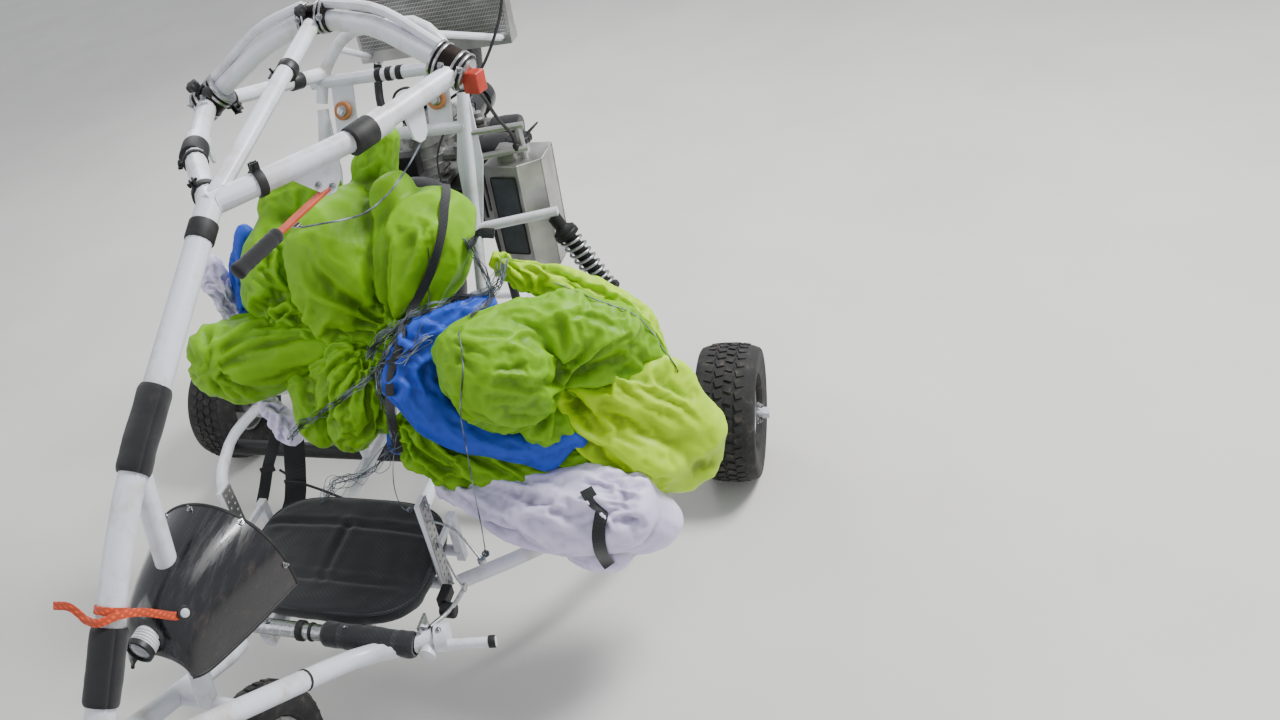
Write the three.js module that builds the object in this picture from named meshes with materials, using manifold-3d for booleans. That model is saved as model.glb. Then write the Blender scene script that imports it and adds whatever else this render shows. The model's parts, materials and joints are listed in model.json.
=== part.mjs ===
// Two-seat paramotor trike, parked with its wing bundled on the seats.
// Millimetres. +Z is up, the craft faces -Y, +X is the pilots' left, and the
// origin is on the ground in the middle of the craft's length and width.
import * as THREE from 'three';
import * as BufferGeometryUtils from 'three/addons/utils/BufferGeometryUtils.js';
import Module from 'manifold-3d';

const wasm = await Module();
wasm.setup();

// Driving dimensions
const GAP = 0.3;
const MAST_D = 56;
const ARM_D = 52;
const THIN_D = 42;
const HOOP_D = 50;
const RAIL_D = 46;
const KEEL_D = 40;
const POST_D = 34;

const NOSE = [0, -1232, 748];
const MAST_BEND = [0, -906, 1068];
const FORK_Y = [0, -357, 1374];
const ARM_BEND = [214, -70, 1366];
const ELBOW = [352, 248, 1380];
const HOOP_SHOULDER = [150, 302, 1496];
const HOOP_TOP = [0, 300, 1534];

const REAR_WHEEL = { x: 852, y: 470, r: 200, w: 158 };
const FRONT_WHEEL = { y: -935, r: 230, w: 92 };
const HEAD = { low: 615, high: 795 };
const STEER = { y: -1205, z: 640, rake: 15, limit: 25 };
const PROP = { y: 1236, z: 930, r: 620 };

const RAIL_KNEE = [150, -650, 350];
const RAIL_CORNER = [330, -566, 352];
const CROSSBAR = { y: -600, z: 355, d: 40 };
const KEEL = { x: 118, z: 314.5, front: -612, rear: 985 };
const AXLE_BEAM = { y: 222, z: 205, half: 726, d: 50 };
const TRAILING_D = 38;
const KNUCKLE_X = 742;
const POST_FOOT = [217, 273, 345];
const POST_TOP = [217, 570, 1165];

const PAINT = { color: 0xe4e6ec, roughness: 0.45, metalness: 0.1 };
const ALLOY = { color: 0xb9bbbd, roughness: 0.4, metalness: 0.8 };
const BLACK = { color: 0x1b1b1c, roughness: 0.7, metalness: 0.0 };

// Turns a closed three.js geometry into a solid that can be joined and cut.
function solid(geometry) {
  const plain = geometry.clone();
  plain.deleteAttribute('normal');
  plain.deleteAttribute('uv');
  const merged = BufferGeometryUtils.mergeVertices(plain, 1e-4);
  const index = merged.index.array;
  const place = merged.attributes.position.array;
  let volume = 0;
  const a = new THREE.Vector3();
  const b = new THREE.Vector3();
  const c = new THREE.Vector3();
  for (let i = 0; i < index.length; i += 3) {
    a.fromArray(place, index[i] * 3);
    b.fromArray(place, index[i + 1] * 3);
    c.fromArray(place, index[i + 2] * 3);
    volume += a.dot(b.cross(c));
  }
  const triVerts = new Uint32Array(index);
  if (volume < 0) {
    for (let i = 0; i < triVerts.length; i += 3) {
      [triVerts[i + 1], triVerts[i + 2]] = [triVerts[i + 2], triVerts[i + 1]];
    }
  }
  return new wasm.Manifold(new wasm.Mesh({
    numProp: 3, vertProperties: new Float32Array(place), triVerts,
  }));
}

function geometryOf(manifold) {
  const mesh = manifold.getMesh();
  const geometry = new THREE.BufferGeometry();
  geometry.setAttribute('position', new THREE.BufferAttribute(mesh.vertProperties, 3));
  geometry.setIndex(new THREE.BufferAttribute(mesh.triVerts, 1));
  return geometry;
}

function join(list) {
  return list.reduce((whole, next) => whole.add(next));
}

const V = (p) => new THREE.Vector3(...p);
const mirror = (p) => [-p[0], p[1], p[2]];

// A path of straight runs whose corners are rounded by `fillet`.
function bentPath(points, fillet) {
  const path = new THREE.CurvePath();
  let from = V(points[0]);
  for (let i = 1; i < points.length - 1; i += 1) {
    const corner = V(points[i]);
    const before = corner.clone().lerp(V(points[i - 1]), fillet / corner.distanceTo(V(points[i - 1])));
    const after = corner.clone().lerp(V(points[i + 1]), fillet / corner.distanceTo(V(points[i + 1])));
    path.add(new THREE.LineCurve3(from, before));
    path.add(new THREE.QuadraticBezierCurve3(before, corner, after));
    from = after;
  }
  path.add(new THREE.LineCurve3(from, V(points[points.length - 1])));
  return path;
}

function roundShape(radius, sides) {
  const shape = new THREE.Shape();
  for (let i = 0; i < sides; i += 1) {
    const angle = (i / sides) * Math.PI * 2;
    const x = radius * Math.cos(angle);
    const y = radius * Math.sin(angle);
    if (i === 0) shape.moveTo(x, y);
    else shape.lineTo(x, y);
  }
  shape.closePath();
  return shape;
}

function sweep(path, diameter, steps, sides = 12) {
  return solid(new THREE.ExtrudeGeometry(roundShape(diameter / 2, sides), {
    steps, extrudePath: path, bevelEnabled: false,
  }));
}

function rod(from, to, diameter, sides = 12) {
  return sweep(new THREE.LineCurve3(V(from), V(to)), diameter, 1, sides);
}

function bentTube(points, diameter, fillet, steps, sides = 12) {
  return sweep(bentPath(points, fillet), diameter, steps, sides);
}

function along(from, to, t) {
  return V(from).lerp(V(to), t).toArray();
}

function block(size, centre, turn = [0, 0, 0]) {
  const geometry = new THREE.BoxGeometry(...size);
  geometry.applyMatrix4(new THREE.Matrix4().makeRotationFromEuler(new THREE.Euler(...turn)));
  geometry.translate(...centre);
  return solid(geometry);
}

// A flat plate from an outline in its own u, v plane.
function plate(outline, thickness, origin, uAxis, vAxis) {
  const shape = new THREE.Shape(outline.map(([u, v]) => new THREE.Vector2(u, v)));
  const geometry = new THREE.ExtrudeGeometry(shape, { depth: thickness, bevelEnabled: false });
  geometry.translate(0, 0, -thickness / 2);
  const u = V(uAxis).normalize();
  const n = u.clone().cross(V(vAxis)).normalize();
  const v = n.clone().cross(u);
  const matrix = new THREE.Matrix4().makeBasis(u, v, n).setPosition(...origin);
  geometry.applyMatrix4(matrix);
  return solid(geometry);
}

// Profile rows are [radius, distance along the axis]; the axis is X, Y or Z.
function turned(profile, axis, centre, segments = 24) {
  const geometry = new THREE.LatheGeometry(profile.map(([r, d]) => new THREE.Vector2(r, d)), segments);
  if (axis === 'x') geometry.rotateZ(-Math.PI / 2);
  if (axis === 'z') geometry.rotateX(Math.PI / 2);
  geometry.translate(...centre);
  return solid(geometry);
}


const flip = (sign, p) => [sign * p[0], p[1], p[2]];

// A round body between two points; rows are [radius, share of the way from the first point].
function turnedBetween(from, to, rows, segments = 16) {
  const start = V(from);
  const run = V(to).sub(start);
  const length = run.length();
  const geometry = new THREE.LatheGeometry(rows.map(([r, t]) => new THREE.Vector2(r, t * length)), segments);
  const turn = new THREE.Quaternion().setFromUnitVectors(new THREE.Vector3(0, 1, 0), run.normalize());
  geometry.applyMatrix4(new THREE.Matrix4().compose(start, turn, new THREE.Vector3(1, 1, 1)));
  return solid(geometry);
}

// A plump closed body with soft corners, for cushions and bundled cloth.
function plump(centre, radii, power, turn = [0, 0, 0], across = 14, rings = 8) {
  const geometry = new THREE.SphereGeometry(1, across, rings);
  const place = geometry.attributes.position;
  const soften = (v) => Math.sign(v) * Math.abs(v) ** power;
  for (let i = 0; i < place.count; i += 1) {
    place.setXYZ(i, soften(place.getX(i)), soften(place.getY(i)), soften(place.getZ(i)));
  }
  geometry.rotateX(Math.PI / 2);
  geometry.scale(...radii);
  geometry.applyMatrix4(new THREE.Matrix4().makeRotationFromEuler(new THREE.Euler(...turn)));
  geometry.translate(...centre);
  return solid(geometry);
}

const craft = new THREE.Group();

function addPiece(name, manifold, finish, parent = craft) {
  const mesh = new THREE.Mesh(geometryOf(manifold), new THREE.MeshStandardMaterial(finish));
  mesh.name = name;
  parent.add(mesh);
}

function addSides(name, build, finish) {
  for (const [side, sign] of [['left', -1], ['right', 1]]) {
    addPiece(`${name}_${side}`, build(sign), finish);
  }
}

// Cuts a body with its neighbours and keeps the main piece.
function cut(body, ...tools) {
  const rest = tools.reduce((whole, tool) => whole.subtract(tool), body);
  return rest.decompose().sort((p, q) => q.volume() - p.volume())[0];
}

// Steering head: the axis leans forward at its top, so the wheel trails it
const RAKE = THREE.MathUtils.degToRad(STEER.rake);
const steerPoint = (z) => [0, STEER.y - (z - STEER.z) * Math.tan(RAKE), z];
const headTube = (grow) => rod(steerPoint(HEAD.low - grow), steerPoint(HEAD.high + grow), 62 + 2 * grow, 18);
const headBore = rod(steerPoint(HEAD.low - 60), steerPoint(HEAD.high + 80), 35.6, 18);

// Mast: one bent tube from the steering head up to the three way junction
const MAST_FILLET = 150;
const mastTube = (grow) => bentTube([NOSE, MAST_BEND, FORK_Y], MAST_D + 2 * grow, MAST_FILLET, 12, 14);
addPiece('mast_tube', join([mastTube(0), headTube(0)]).subtract(headBore), PAINT);

const STRUT_TOP = [0, -840, 1095];
const STRUT_FOOT = [0, -958, 556];
const strutTube = (grow) => rod(STRUT_TOP, STRUT_FOOT, 44 + 2 * grow, 16);

// Foam sleeves follow the mast between two shares of its length
function foamSleeve(from, to, ...others) {
  const path = bentPath([NOSE, MAST_BEND, FORK_Y], MAST_FILLET);
  const points = [0, 1, 2, 3, 4].map((k) => path.getPointAt(from + ((to - from) * k) / 4));
  return cut(sweep(new THREE.CatmullRomCurve3(points), MAST_D + 12, 5, 14), mastTube(GAP), ...others);
}
addPiece('mast_foam_upper', foamSleeve(0.47, 0.62, strutTube(GAP)), BLACK);
addPiece('mast_foam_lower', foamSleeve(0.09, 0.21), BLACK);

// Top arms: each is welded to the junction, kinks at a dark sleeve and ends in an elbow clamp
function armTube(sign, grow) {
  return bentTube([FORK_Y, flip(sign, ARM_BEND), flip(sign, ELBOW)], ARM_D + 2 * grow, 60, 10);
}
const HANG = { at: [150, -156, 1340] };
function hangPlate(sign, grow = 0) {
  const run = V(flip(sign, ARM_BEND)).sub(V(FORK_Y)).toArray();
  const outline = [[-75, 14], [60, 14], [44, -40], [26, -62], [4, -62], [-12, -46]];
  const shape = sign > 0 ? outline : outline.slice().reverse();
  return plate(shape, 8 + 2 * grow, flip(sign, HANG.at), run, [0, 0, 1]);
}
// A shorter bracket with its bolt hangs behind the sleeve
function rearBracket(sign) {
  const run = V(flip(sign, ELBOW)).sub(V(flip(sign, ARM_BEND))).toArray();
  const outline = [[-34, 0], [34, 0], [22, -84], [8, -98], [-8, -98], [-22, -84]];
  const shape = sign > 0 ? outline : outline.slice().reverse();
  const at = along(ARM_BEND, ELBOW, 0.52);
  return plate(shape, 8, flip(sign, at), run, [0, 0, 1]);
}
function armSleeve(sign) {
  return rod(flip(sign, along(ARM_BEND, ELBOW, 0.06)), flip(sign, along(ARM_BEND, ELBOW, 0.26)), ARM_D + 12, 16);
}
const elbowShell = (sign, grow) => rod(
  flip(sign, along(ELBOW, HOOP_SHOULDER, -0.1)), flip(sign, along(ELBOW, HOOP_SHOULDER, 0.24 + grow / 200)), 88 + 2 * grow, 18);
const otherSide = (sign) => block([400, 900, 500], [-sign * (200 - GAP), -200, 1381]);
addSides('arm', (sign) => cut(join([armTube(sign, 0), hangPlate(sign), rearBracket(sign), armSleeve(sign)]),
  mastTube(GAP), elbowShell(sign, GAP), otherSide(sign)), PAINT);
const TOP_CLAMP_HALF = 36;
const topShell = (grow) => rod(
  [-TOP_CLAMP_HALF - grow, HOOP_TOP[1], HOOP_TOP[2]], [TOP_CLAMP_HALF + grow, HOOP_TOP[1], HOOP_TOP[2]], 76 + 2 * grow, 18);
const middleTube = (grow) => bentTube([FORK_Y, [0, 150, 1500], HOOP_TOP], THIN_D + 2 * grow, 80, 8);
addPiece('arm_middle', cut(
  middleTube(0), mastTube(GAP), armTube(1, GAP), armTube(-1, GAP), topShell(GAP)), PAINT);

// Hoop over the engine frame with its top rib, and the three clamps
const hoopTube = (grow) => bentTube(
  [mirror(ELBOW), mirror(HOOP_SHOULDER), HOOP_TOP, HOOP_SHOULDER, ELBOW], HOOP_D + 2 * grow, 50, 16);
const ribTube = (sign, grow) => bentTube(
  [[26, 302, 1568], [165, 306, 1538], [318, 262, 1436]].map((p) => flip(sign, p)), 24 + 2 * grow, 60, 8, 10);
addPiece('hoop', cut(join([hoopTube(0), ribTube(1, 0), ribTube(-1, 0)]), elbowShell(1, GAP), elbowShell(-1, GAP)), PAINT);
addPiece('top_clamp', cut(topShell(0), hoopTube(GAP), ribTube(1, GAP), ribTube(-1, GAP)), BLACK);
addSides('elbow_clamp', (sign) => elbowShell(sign, 0), BLACK);

// Links from the elbow clamps back to the rear posts
const LINK = { from: [334, 262, 1372], z: 1292, d: 40 };

// Nose rails run back from the head, bend at the knee and turn outboard to the corners
const RAIL_START = [30, -1202, 716];
const railTube = (sign, grow) => bentTube(
  [RAIL_START, RAIL_KNEE, RAIL_CORNER].map((p) => flip(sign, p)), RAIL_D + 2 * grow, 75, 12);
const PEG_START = [340, -586, 351];
const PEG_END = [463, -556, 350];
function railWithPeg(sign) {
  const cornerClamp = rod(flip(sign, [322, -570, 352]), flip(sign, [352, -562, 352]), 66, 16);
  const peg = rod(flip(sign, PEG_START), flip(sign, PEG_END), 24, 12);
  const plug = rod(flip(sign, [311, -613, 340]), flip(sign, [311, -560, 345]), 40);
  return cut(join([railTube(sign, 0), cornerClamp, peg, plug]), headTube(GAP), mastTube(GAP));
}
addSides('nose_rail', railWithPeg, PAINT);
const crossbar = (grow) => rod([-284, CROSSBAR.y, CROSSBAR.z], [284, CROSSBAR.y, CROSSBAR.z], CROSSBAR.d + 2 * grow, 16);
addPiece('crossbar', cut(crossbar(0), railTube(1, GAP), railTube(-1, GAP)), ALLOY);

// Strut from the mast down through the cowl to a stirrup between the rails
const stirrup = rod([-80, STRUT_FOOT[1], STRUT_FOOT[2]], [80, STRUT_FOOT[1], STRUT_FOOT[2]], 30);
addPiece('mast_strut', cut(join([strutTube(0), stirrup]), mastTube(GAP), railTube(1, GAP), railTube(-1, GAP)), PAINT);

// Nose cowl: an arched shell. Columns are y, half width, crown height, lower edge
const COWL = [
  [-1014, 78, 786, 722],
  [-990, 88, 846, 713],
  [-935, 105, 880, 706],
  [-850, 130, 896, 700],
  [-742, 160, 903, 695],
];
const COWL_WALL = 5;
function archSolid(rows) {
  const around = 12;
  const points = [];
  for (const [y, half, crown, edge] of rows) {
    for (let i = 0; i <= around; i += 1) {
      const angle = (i / around) * Math.PI;
      const lift = Math.abs(Math.sin(angle)) ** 0.8;
      points.push(half * Math.cos(angle), y, edge + (crown - edge) * lift);
    }
  }
  const ring = around + 1;
  const index = [];
  for (let r = 0; r < rows.length - 1; r += 1) {
    for (let i = 0; i < ring; i += 1) {
      const a = r * ring + i;
      const b = r * ring + ((i + 1) % ring);
      index.push(a, b, a + ring, b, b + ring, a + ring);
    }
  }
  const last = (rows.length - 1) * ring;
  for (let i = 1; i < ring - 1; i += 1) {
    index.push(0, i + 1, i, last, last + i, last + i + 1);
  }
  const geometry = new THREE.BufferGeometry();
  geometry.setAttribute('position', new THREE.Float32BufferAttribute(points, 3));
  geometry.setIndex(index);
  return solid(geometry);
}
const cowlInside = COWL.map(([y, half, crown, edge], i) => [
  i === 0 ? y + COWL_WALL : y + (i === COWL.length - 1 ? 5 : 0),
  half - COWL_WALL, crown - COWL_WALL, edge - 5]);
addPiece('nose_cowl', cut(archSolid(COWL), archSolid(cowlInside), strutTube(GAP)), BLACK);

// Headlamp on the front face of the cowl
const LAMP = [-4, -1012, 806];
const cowlOutside = COWL.map(([y, half, crown, edge], i) => [y - (i === 0 ? GAP : 0), half + GAP, crown + GAP, edge - GAP]);
addPiece('headlamp', cut(turnedBetween([LAMP[0], LAMP[1] - 30, LAMP[2] + 4], [LAMP[0], LAMP[1] + 40, LAMP[2] - 6],
  [[0, 0], [21, 0.02], [28, 0.12], [28, 0.5], [22, 0.85], [0, 1]], 18), archSolid(cowlOutside)), ALLOY);

// Keel pair with the pivot beam below it and the seat uprights
function keelCradle(sign, grow) {
  return block([34 + 2 * grow, 30 + 2 * grow, 34 + 2 * grow], [sign * KEEL.x, CROSSBAR.y, CROSSBAR.z - 22]);
}
function keelFrame() {
  const parts = [];
  for (const sign of [-1, 1]) {
    parts.push(rod([sign * KEEL.x, KEEL.front, KEEL.z], [sign * KEEL.x, KEEL.rear, KEEL.z], KEEL_D));
    parts.push(keelCradle(sign, 0));
    parts.push(block([10, 42, 300], [sign * 274, -374, 446], [0.05, 0, 0]));
    parts.push(block([22, 24, 150], [sign * 276, -262, 366]));
    parts.push(block([10, 130, 20], [sign * 276, -316, 428]));
  }
  for (const y of [-374, -262, 240, 600, 960]) {
    const half = y < 0 ? 280 : KEEL.x;
    parts.push(rod([-half, y, KEEL.z], [half, y, KEEL.z], 30));
  }
  return join(parts);
}
addPiece('keel_frame', cut(keelFrame(), crossbar(GAP)), PAINT);

// Axle beam, trailing arms and their knuckles
const axleBeamCut = (grow) => rod([-AXLE_BEAM.half, AXLE_BEAM.y, AXLE_BEAM.z], [AXLE_BEAM.half, AXLE_BEAM.y, AXLE_BEAM.z],
  AXLE_BEAM.d + 2 * grow, 16);
function axleBeam() {
  const beam = axleBeamCut(0);
  const saddles = [-1, 1].map((s) => block([46, 40, 90], [s * KEEL.x, AXLE_BEAM.y, 250]));
  return join([beam, ...saddles]);
}
const TRAILING = [[294, -345, 292], [445, -219, 285], [640, 10, 258], [736, 250, 232], [KNUCKLE_X, REAR_WHEEL.y, REAR_WHEEL.r]];
const trailingTube = (sign, grow) => bentTube(TRAILING.map((p) => flip(sign, p)), TRAILING_D + 2 * grow, 90, 14);
const keelCut = (grow) => join([-1, 1].map((s) => rod(
  [s * KEEL.x, KEEL.front, KEEL.z], [s * KEEL.x, KEEL.rear, KEEL.z], KEEL_D + 2 * grow)));
addPiece('axle_beam', cut(axleBeam(), trailingTube(1, GAP), trailingTube(-1, GAP), keelCut(GAP),
  rod([-KEEL.x, 240, KEEL.z], [KEEL.x, 240, KEEL.z], 30 + 2 * GAP)), BLACK);
const STUB_END = 946;
const knuckleBlock = (sign, grow) => block([26 + 2 * grow, 84 + 2 * grow, 96 + 2 * grow],
  flip(sign, [KNUCKLE_X, REAR_WHEEL.y, REAR_WHEEL.r + 14]));
function trailingArm(sign) {
  const knuckle = knuckleBlock(sign, 0);
  const stub = rod(flip(sign, [KNUCKLE_X, REAR_WHEEL.y, REAR_WHEEL.r]), flip(sign, [STUB_END, REAR_WHEEL.y, REAR_WHEEL.r]), 25, 16);
  const nut = rod(flip(sign, [STUB_END - 10, REAR_WHEEL.y, REAR_WHEEL.r]), flip(sign, [STUB_END + 9, REAR_WHEEL.y, REAR_WHEEL.r]), 34, 6);
  const link = rod(flip(sign, [KEEL.x + 20, 520, 310]), flip(sign, [KNUCKLE_X, REAR_WHEEL.y + 25, 215]), 22, 10);
  return cut(join([trailingTube(sign, 0), knuckle, stub, nut, link]), keelCut(GAP));
}
addSides('trailing_arm', trailingArm, PAINT);

// Rear posts lean back; the arch joins them under the hoop and carries the radiator stays
const postAt = (x, z) => [x, POST_FOOT[1] + (z - POST_FOOT[2]) * (POST_TOP[1] - POST_FOOT[1]) / (POST_TOP[2] - POST_FOOT[2]), z];
const postTube = (sign, grow) => rod(flip(sign, postAt(POST_FOOT[0], 300)), flip(sign, postAt(POST_FOOT[0], 1200)), POST_D + 2 * grow);
const SHOCK_TOP = [434, 490, 852];
const STAY_END = [SHOCK_TOP[0] + 12, SHOCK_TOP[1] + 4, SHOCK_TOP[2] + 16];
const stayRod = (sign, grow) => rod(flip(sign, postAt(POST_FOOT[0], 850)), flip(sign, STAY_END), 28 + 2 * grow);
function gusset(sign, grow = 0) {
  const outline = [[-17, 60], [17, 60], [40, -110], [17, -330], [-17, -330], [-36, -110]];
  const shape = sign > 0 ? outline : outline.map(([u, v]) => [-u, v]).reverse();
  const lean = [0, POST_TOP[1] - POST_FOOT[1], POST_TOP[2] - POST_FOOT[2]];
  return plate(shape, 6 + 2 * grow, flip(sign, postAt(POST_FOOT[0], 1130)), [1, 0, 0], lean);
}
const POST_BASE = { z: 335, plate: [110, 60, 12], x: 172 };
function post(sign) {
  const plateZ = POST_BASE.z + POST_BASE.plate[2] / 2;
  const foot = block(POST_BASE.plate, flip(sign, [POST_BASE.x, postAt(0, plateZ)[1], plateZ]));
  const below = block([600, 400, 100], [0, 273, POST_BASE.z - GAP - 50]);
  return cut(join([postTube(sign, 0), stayRod(sign, 0), foot, gusset(sign)]), keelCut(GAP), below);
}
addSides('rear_post', post, PAINT);

const archTube = (grow) => bentTube([
  postAt(-217, 1216), postAt(-200, 1300), postAt(-110, 1392), postAt(110, 1392), postAt(200, 1300), postAt(217, 1216),
], POST_D + 2 * grow, 45, 14);
const RADIATOR = { y: 1000, z: 1190, w: 500, h: 290, t: 64 };
const stayTubes = [-1, 1].map((s) => rod(postAt(s * 150, 1352), [s * 225, RADIATOR.y - 10, RADIATOR.z + 12], 20, 10));
addPiece('rear_arch', join([archTube(0), ...stayTubes]).subtract(
  block([RADIATOR.w + 2 * GAP, RADIATOR.t + 2 * GAP, RADIATOR.h + 2 * GAP + 40], [0, RADIATOR.y, RADIATOR.z + RADIATOR.h / 2 + 20])), PAINT);

const barRods = (grow) => join([[1270, 36], [1115, 34]].map(([z, d]) => rod(postAt(-240, z), postAt(240, z), d + 2 * grow)));
addSides('rear_link', (sign) => cut(rod(flip(sign, LINK.from), flip(sign, postAt(200, LINK.z)), LINK.d),
  elbowShell(sign, GAP), armTube(sign, GAP), hoopTube(GAP), postTube(sign, GAP), archTube(GAP), barRods(GAP)), PAINT);

// Cross bars between the posts with the two plates that hold the rubber mounts
const BUSH = { x: 145, z: 1190 };
function engineBars() {
  const parts = [barRods(0)];
  for (const s of [-1, 1]) {
    parts.push(plate([[-34, -80], [34, -80], [34, 80], [-34, 80]], 8, postAt(s * BUSH.x, BUSH.z), [1, 0, 0],
      [0, POST_TOP[1] - POST_FOOT[1], POST_TOP[2] - POST_FOOT[2]]));
  }
  return join(parts);
}
const bushRod = (grow) => join([-1, 1].map((s) => {
  const p = postAt(s * BUSH.x, BUSH.z);
  return rod([p[0], p[1] - 40, p[2] + 14], [p[0], p[1] + 40, p[2] - 14], 46 + 2 * grow, 16);
}));
addPiece('engine_bars', cut(engineBars(), postTube(1, GAP), postTube(-1, GAP), gusset(1, GAP), gusset(-1, GAP), archTube(GAP), bushRod(GAP)), PAINT);

// Engine: crankcase, two cylinders in line, carburettors, exhaust and reduction gearbox
const CASE = { x: 0, y: 790, z: 790, w: 250, l: 310, h: 190 };
function crankcase() {
  const caseBody = block([CASE.w, CASE.l, CASE.h], [CASE.x, CASE.y, CASE.z]);
  const feet = [-1, 1].map((s) => block([44, 250, 26], [s * 100, CASE.y, CASE.z - CASE.h / 2 - 8]));
  const legs = [];
  for (const s of [-1, 1]) {
    for (const y of [690, 890]) {
      legs.push(rod([s * KEEL.x, y, KEEL.z + KEEL_D / 2 + 0.3], [s * 100, y, CASE.z - CASE.h / 2], 30, 12));
    }
  }
  const flywheel = turned([[0, 0], [92, 0], [92, 34], [60, 46], [0, 46]], 'y', [CASE.x, CASE.y - CASE.l / 2 - 45, CASE.z], 24);
  return join([caseBody, ...feet, ...legs, flywheel]);
}
const engineKeelCut = keelCut(GAP);
addPiece('crankcase', cut(crankcase(), engineKeelCut), BLACK);
const CYL_BASE = CASE.z + CASE.h / 2 + GAP;
function cylinders(grow = 0) {
  const parts = [block([150, 250, 24], [0, 785, CYL_BASE + 12])];
  for (const y of [720, 850]) {
    parts.push(turned([[0, 0], [62, 0], [66, 20], [66, 128], [74, 134], [74, 168], [50, 182], [0, 182]], 'z', [0, y, CYL_BASE], 16));
    parts.push(rod([0, y, CYL_BASE + 175], [0, y, CYL_BASE + 215], 30, 10));
    parts.push(rod([40, y, CYL_BASE + 80], [118, y, CYL_BASE + 80], 44, 10));
    parts.push(block([62, 66, 84], [138, y, CYL_BASE + 74]));
    parts.push(rod([160, y, CYL_BASE + 84], [226, y, CYL_BASE + 84], 78, 14));
    parts.push(rod([-40, y, CYL_BASE + 70], [-118, y, CYL_BASE + 50], 48 + 2 * grow, 10));
  }
  parts.push(block([26 + 2 * grow, 210, 56], [-112, 785, CYL_BASE + 48]));
  return join(parts);
}
addPiece('cylinders', cylinders(), ALLOY);
function exhaust() {
  const pipe = bentTube([[-125 - GAP, 785, CYL_BASE + 48], [-186, 785, CYL_BASE + 30], [-214, 785, 820], [-214, 785, 700]], 54, 40, 12, 12);
  const can = turned([[0, 0], [50, 0], [66, 24], [66, 330], [50, 354], [0, 354]], 'y', [-214, 640, 640], 16);
  const tail = rod([-214, 985, 640], [-214, 1050, 626], 36, 12);
  return join([pipe, can, tail]);
}
addPiece('exhaust', cut(exhaust(), cylinders(GAP)), ALLOY);
const GEAR_FRONT = CASE.y + CASE.l / 2 + GAP;
function gearbox() {
  const shell = block([150, 110, 150], [0, GEAR_FRONT + 55, CASE.z + 6]);
  const upper = turned([[0, 0], [78, 0], [78, 90], [52, 116], [40, 132], [0, 132]], 'y', [0, GEAR_FRONT, PROP.z], 24);
  const shaft = rod([0, GEAR_FRONT + 100, PROP.z], [0, GEAR_FRONT + 182, PROP.z], 40, 16);
  return join([shell, upper, shaft]);
}
addPiece('gearbox', gearbox(), ALLOY);

// Propeller on its flange, two blades standing upright
const HUB_START = GEAR_FRONT + 132 + 6;
function propeller() {
  const hub = turned([[0, 0], [48, 0], [48, PROP.y - 26 - HUB_START], [60, PROP.y - 26 - HUB_START],
    [60, PROP.y + 26 - HUB_START], [44, PROP.y + 40 - HUB_START], [0, PROP.y + 40 - HUB_START]], 'y', [0, HUB_START, PROP.z], 20);
  const parts = [hub];
  // Columns are radius, chord, thickness, twist in degrees
  const blade = [[40, 62, 34, 40], [120, 92, 24, 32], [260, 112, 16, 22], [430, 96, 11, 15], [560, 66, 8, 11], [620, 30, 5, 9]];
  for (const turn of [0, Math.PI]) {
    const around = 8;
    const points = [];
    for (const [r, chord, thick, twist] of blade) {
      for (let i = 0; i < around; i += 1) {
        const a = (i / around) * Math.PI * 2;
        const u = (chord / 2) * Math.cos(a);
        const v = (thick / 2) * Math.sin(a);
        const t = THREE.MathUtils.degToRad(twist);
        points.push(u * Math.cos(t) - v * Math.sin(t), u * Math.sin(t) + v * Math.cos(t), r);
      }
    }
    const index = [];
    for (let k = 0; k < blade.length - 1; k += 1) {
      for (let i = 0; i < around; i += 1) {
        const a = k * around + i;
        const b = k * around + ((i + 1) % around);
        index.push(a, b, a + around, b, b + around, a + around);
      }
    }
    const last = (blade.length - 1) * around;
    for (let i = 1; i < around - 1; i += 1) index.push(0, i + 1, i, last, last + i, last + i + 1);
    const geometry = new THREE.BufferGeometry();
    geometry.setAttribute('position', new THREE.Float32BufferAttribute(points, 3));
    geometry.setIndex(index);
    geometry.rotateY(turn);
    geometry.translate(0, PROP.y, PROP.z);
    parts.push(solid(geometry));
  }
  const bore = rod([0, HUB_START - 5, PROP.z], [0, HUB_START + 50, PROP.z], 41.8, 20);
  return join(parts).subtract(bore);
}
addPiece('propeller', propeller(), { color: 0x242424, roughness: 0.35, metalness: 0.0 });

// Radiator above the engine
function radiator() {
  const core = block([RADIATOR.w, RADIATOR.t - 14, RADIATOR.h], [0, RADIATOR.y, RADIATOR.z + RADIATOR.h / 2]);
  const tanks = [0, 1].map((k) => block([RADIATOR.w, RADIATOR.t, 36], [0, RADIATOR.y, RADIATOR.z + 18 + k * (RADIATOR.h - 36)]));
  const cap = rod([140, RADIATOR.y, RADIATOR.z + RADIATOR.h - 4], [140, RADIATOR.y, RADIATOR.z + RADIATOR.h + 28], 44, 14);
  const hose = bentTube([[60, RADIATOR.y - 10, RADIATOR.z + 8], [60, RADIATOR.y - 20, 1140], [20, 880, 1125], [0, 852, CYL_BASE + 211]], 30, 20, 12, 10);
  return join([core, ...tanks, cap, hose]);
}
addPiece('radiator', cut(radiator(), cylinders().translate(0, 0, GAP)), ALLOY);

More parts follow.
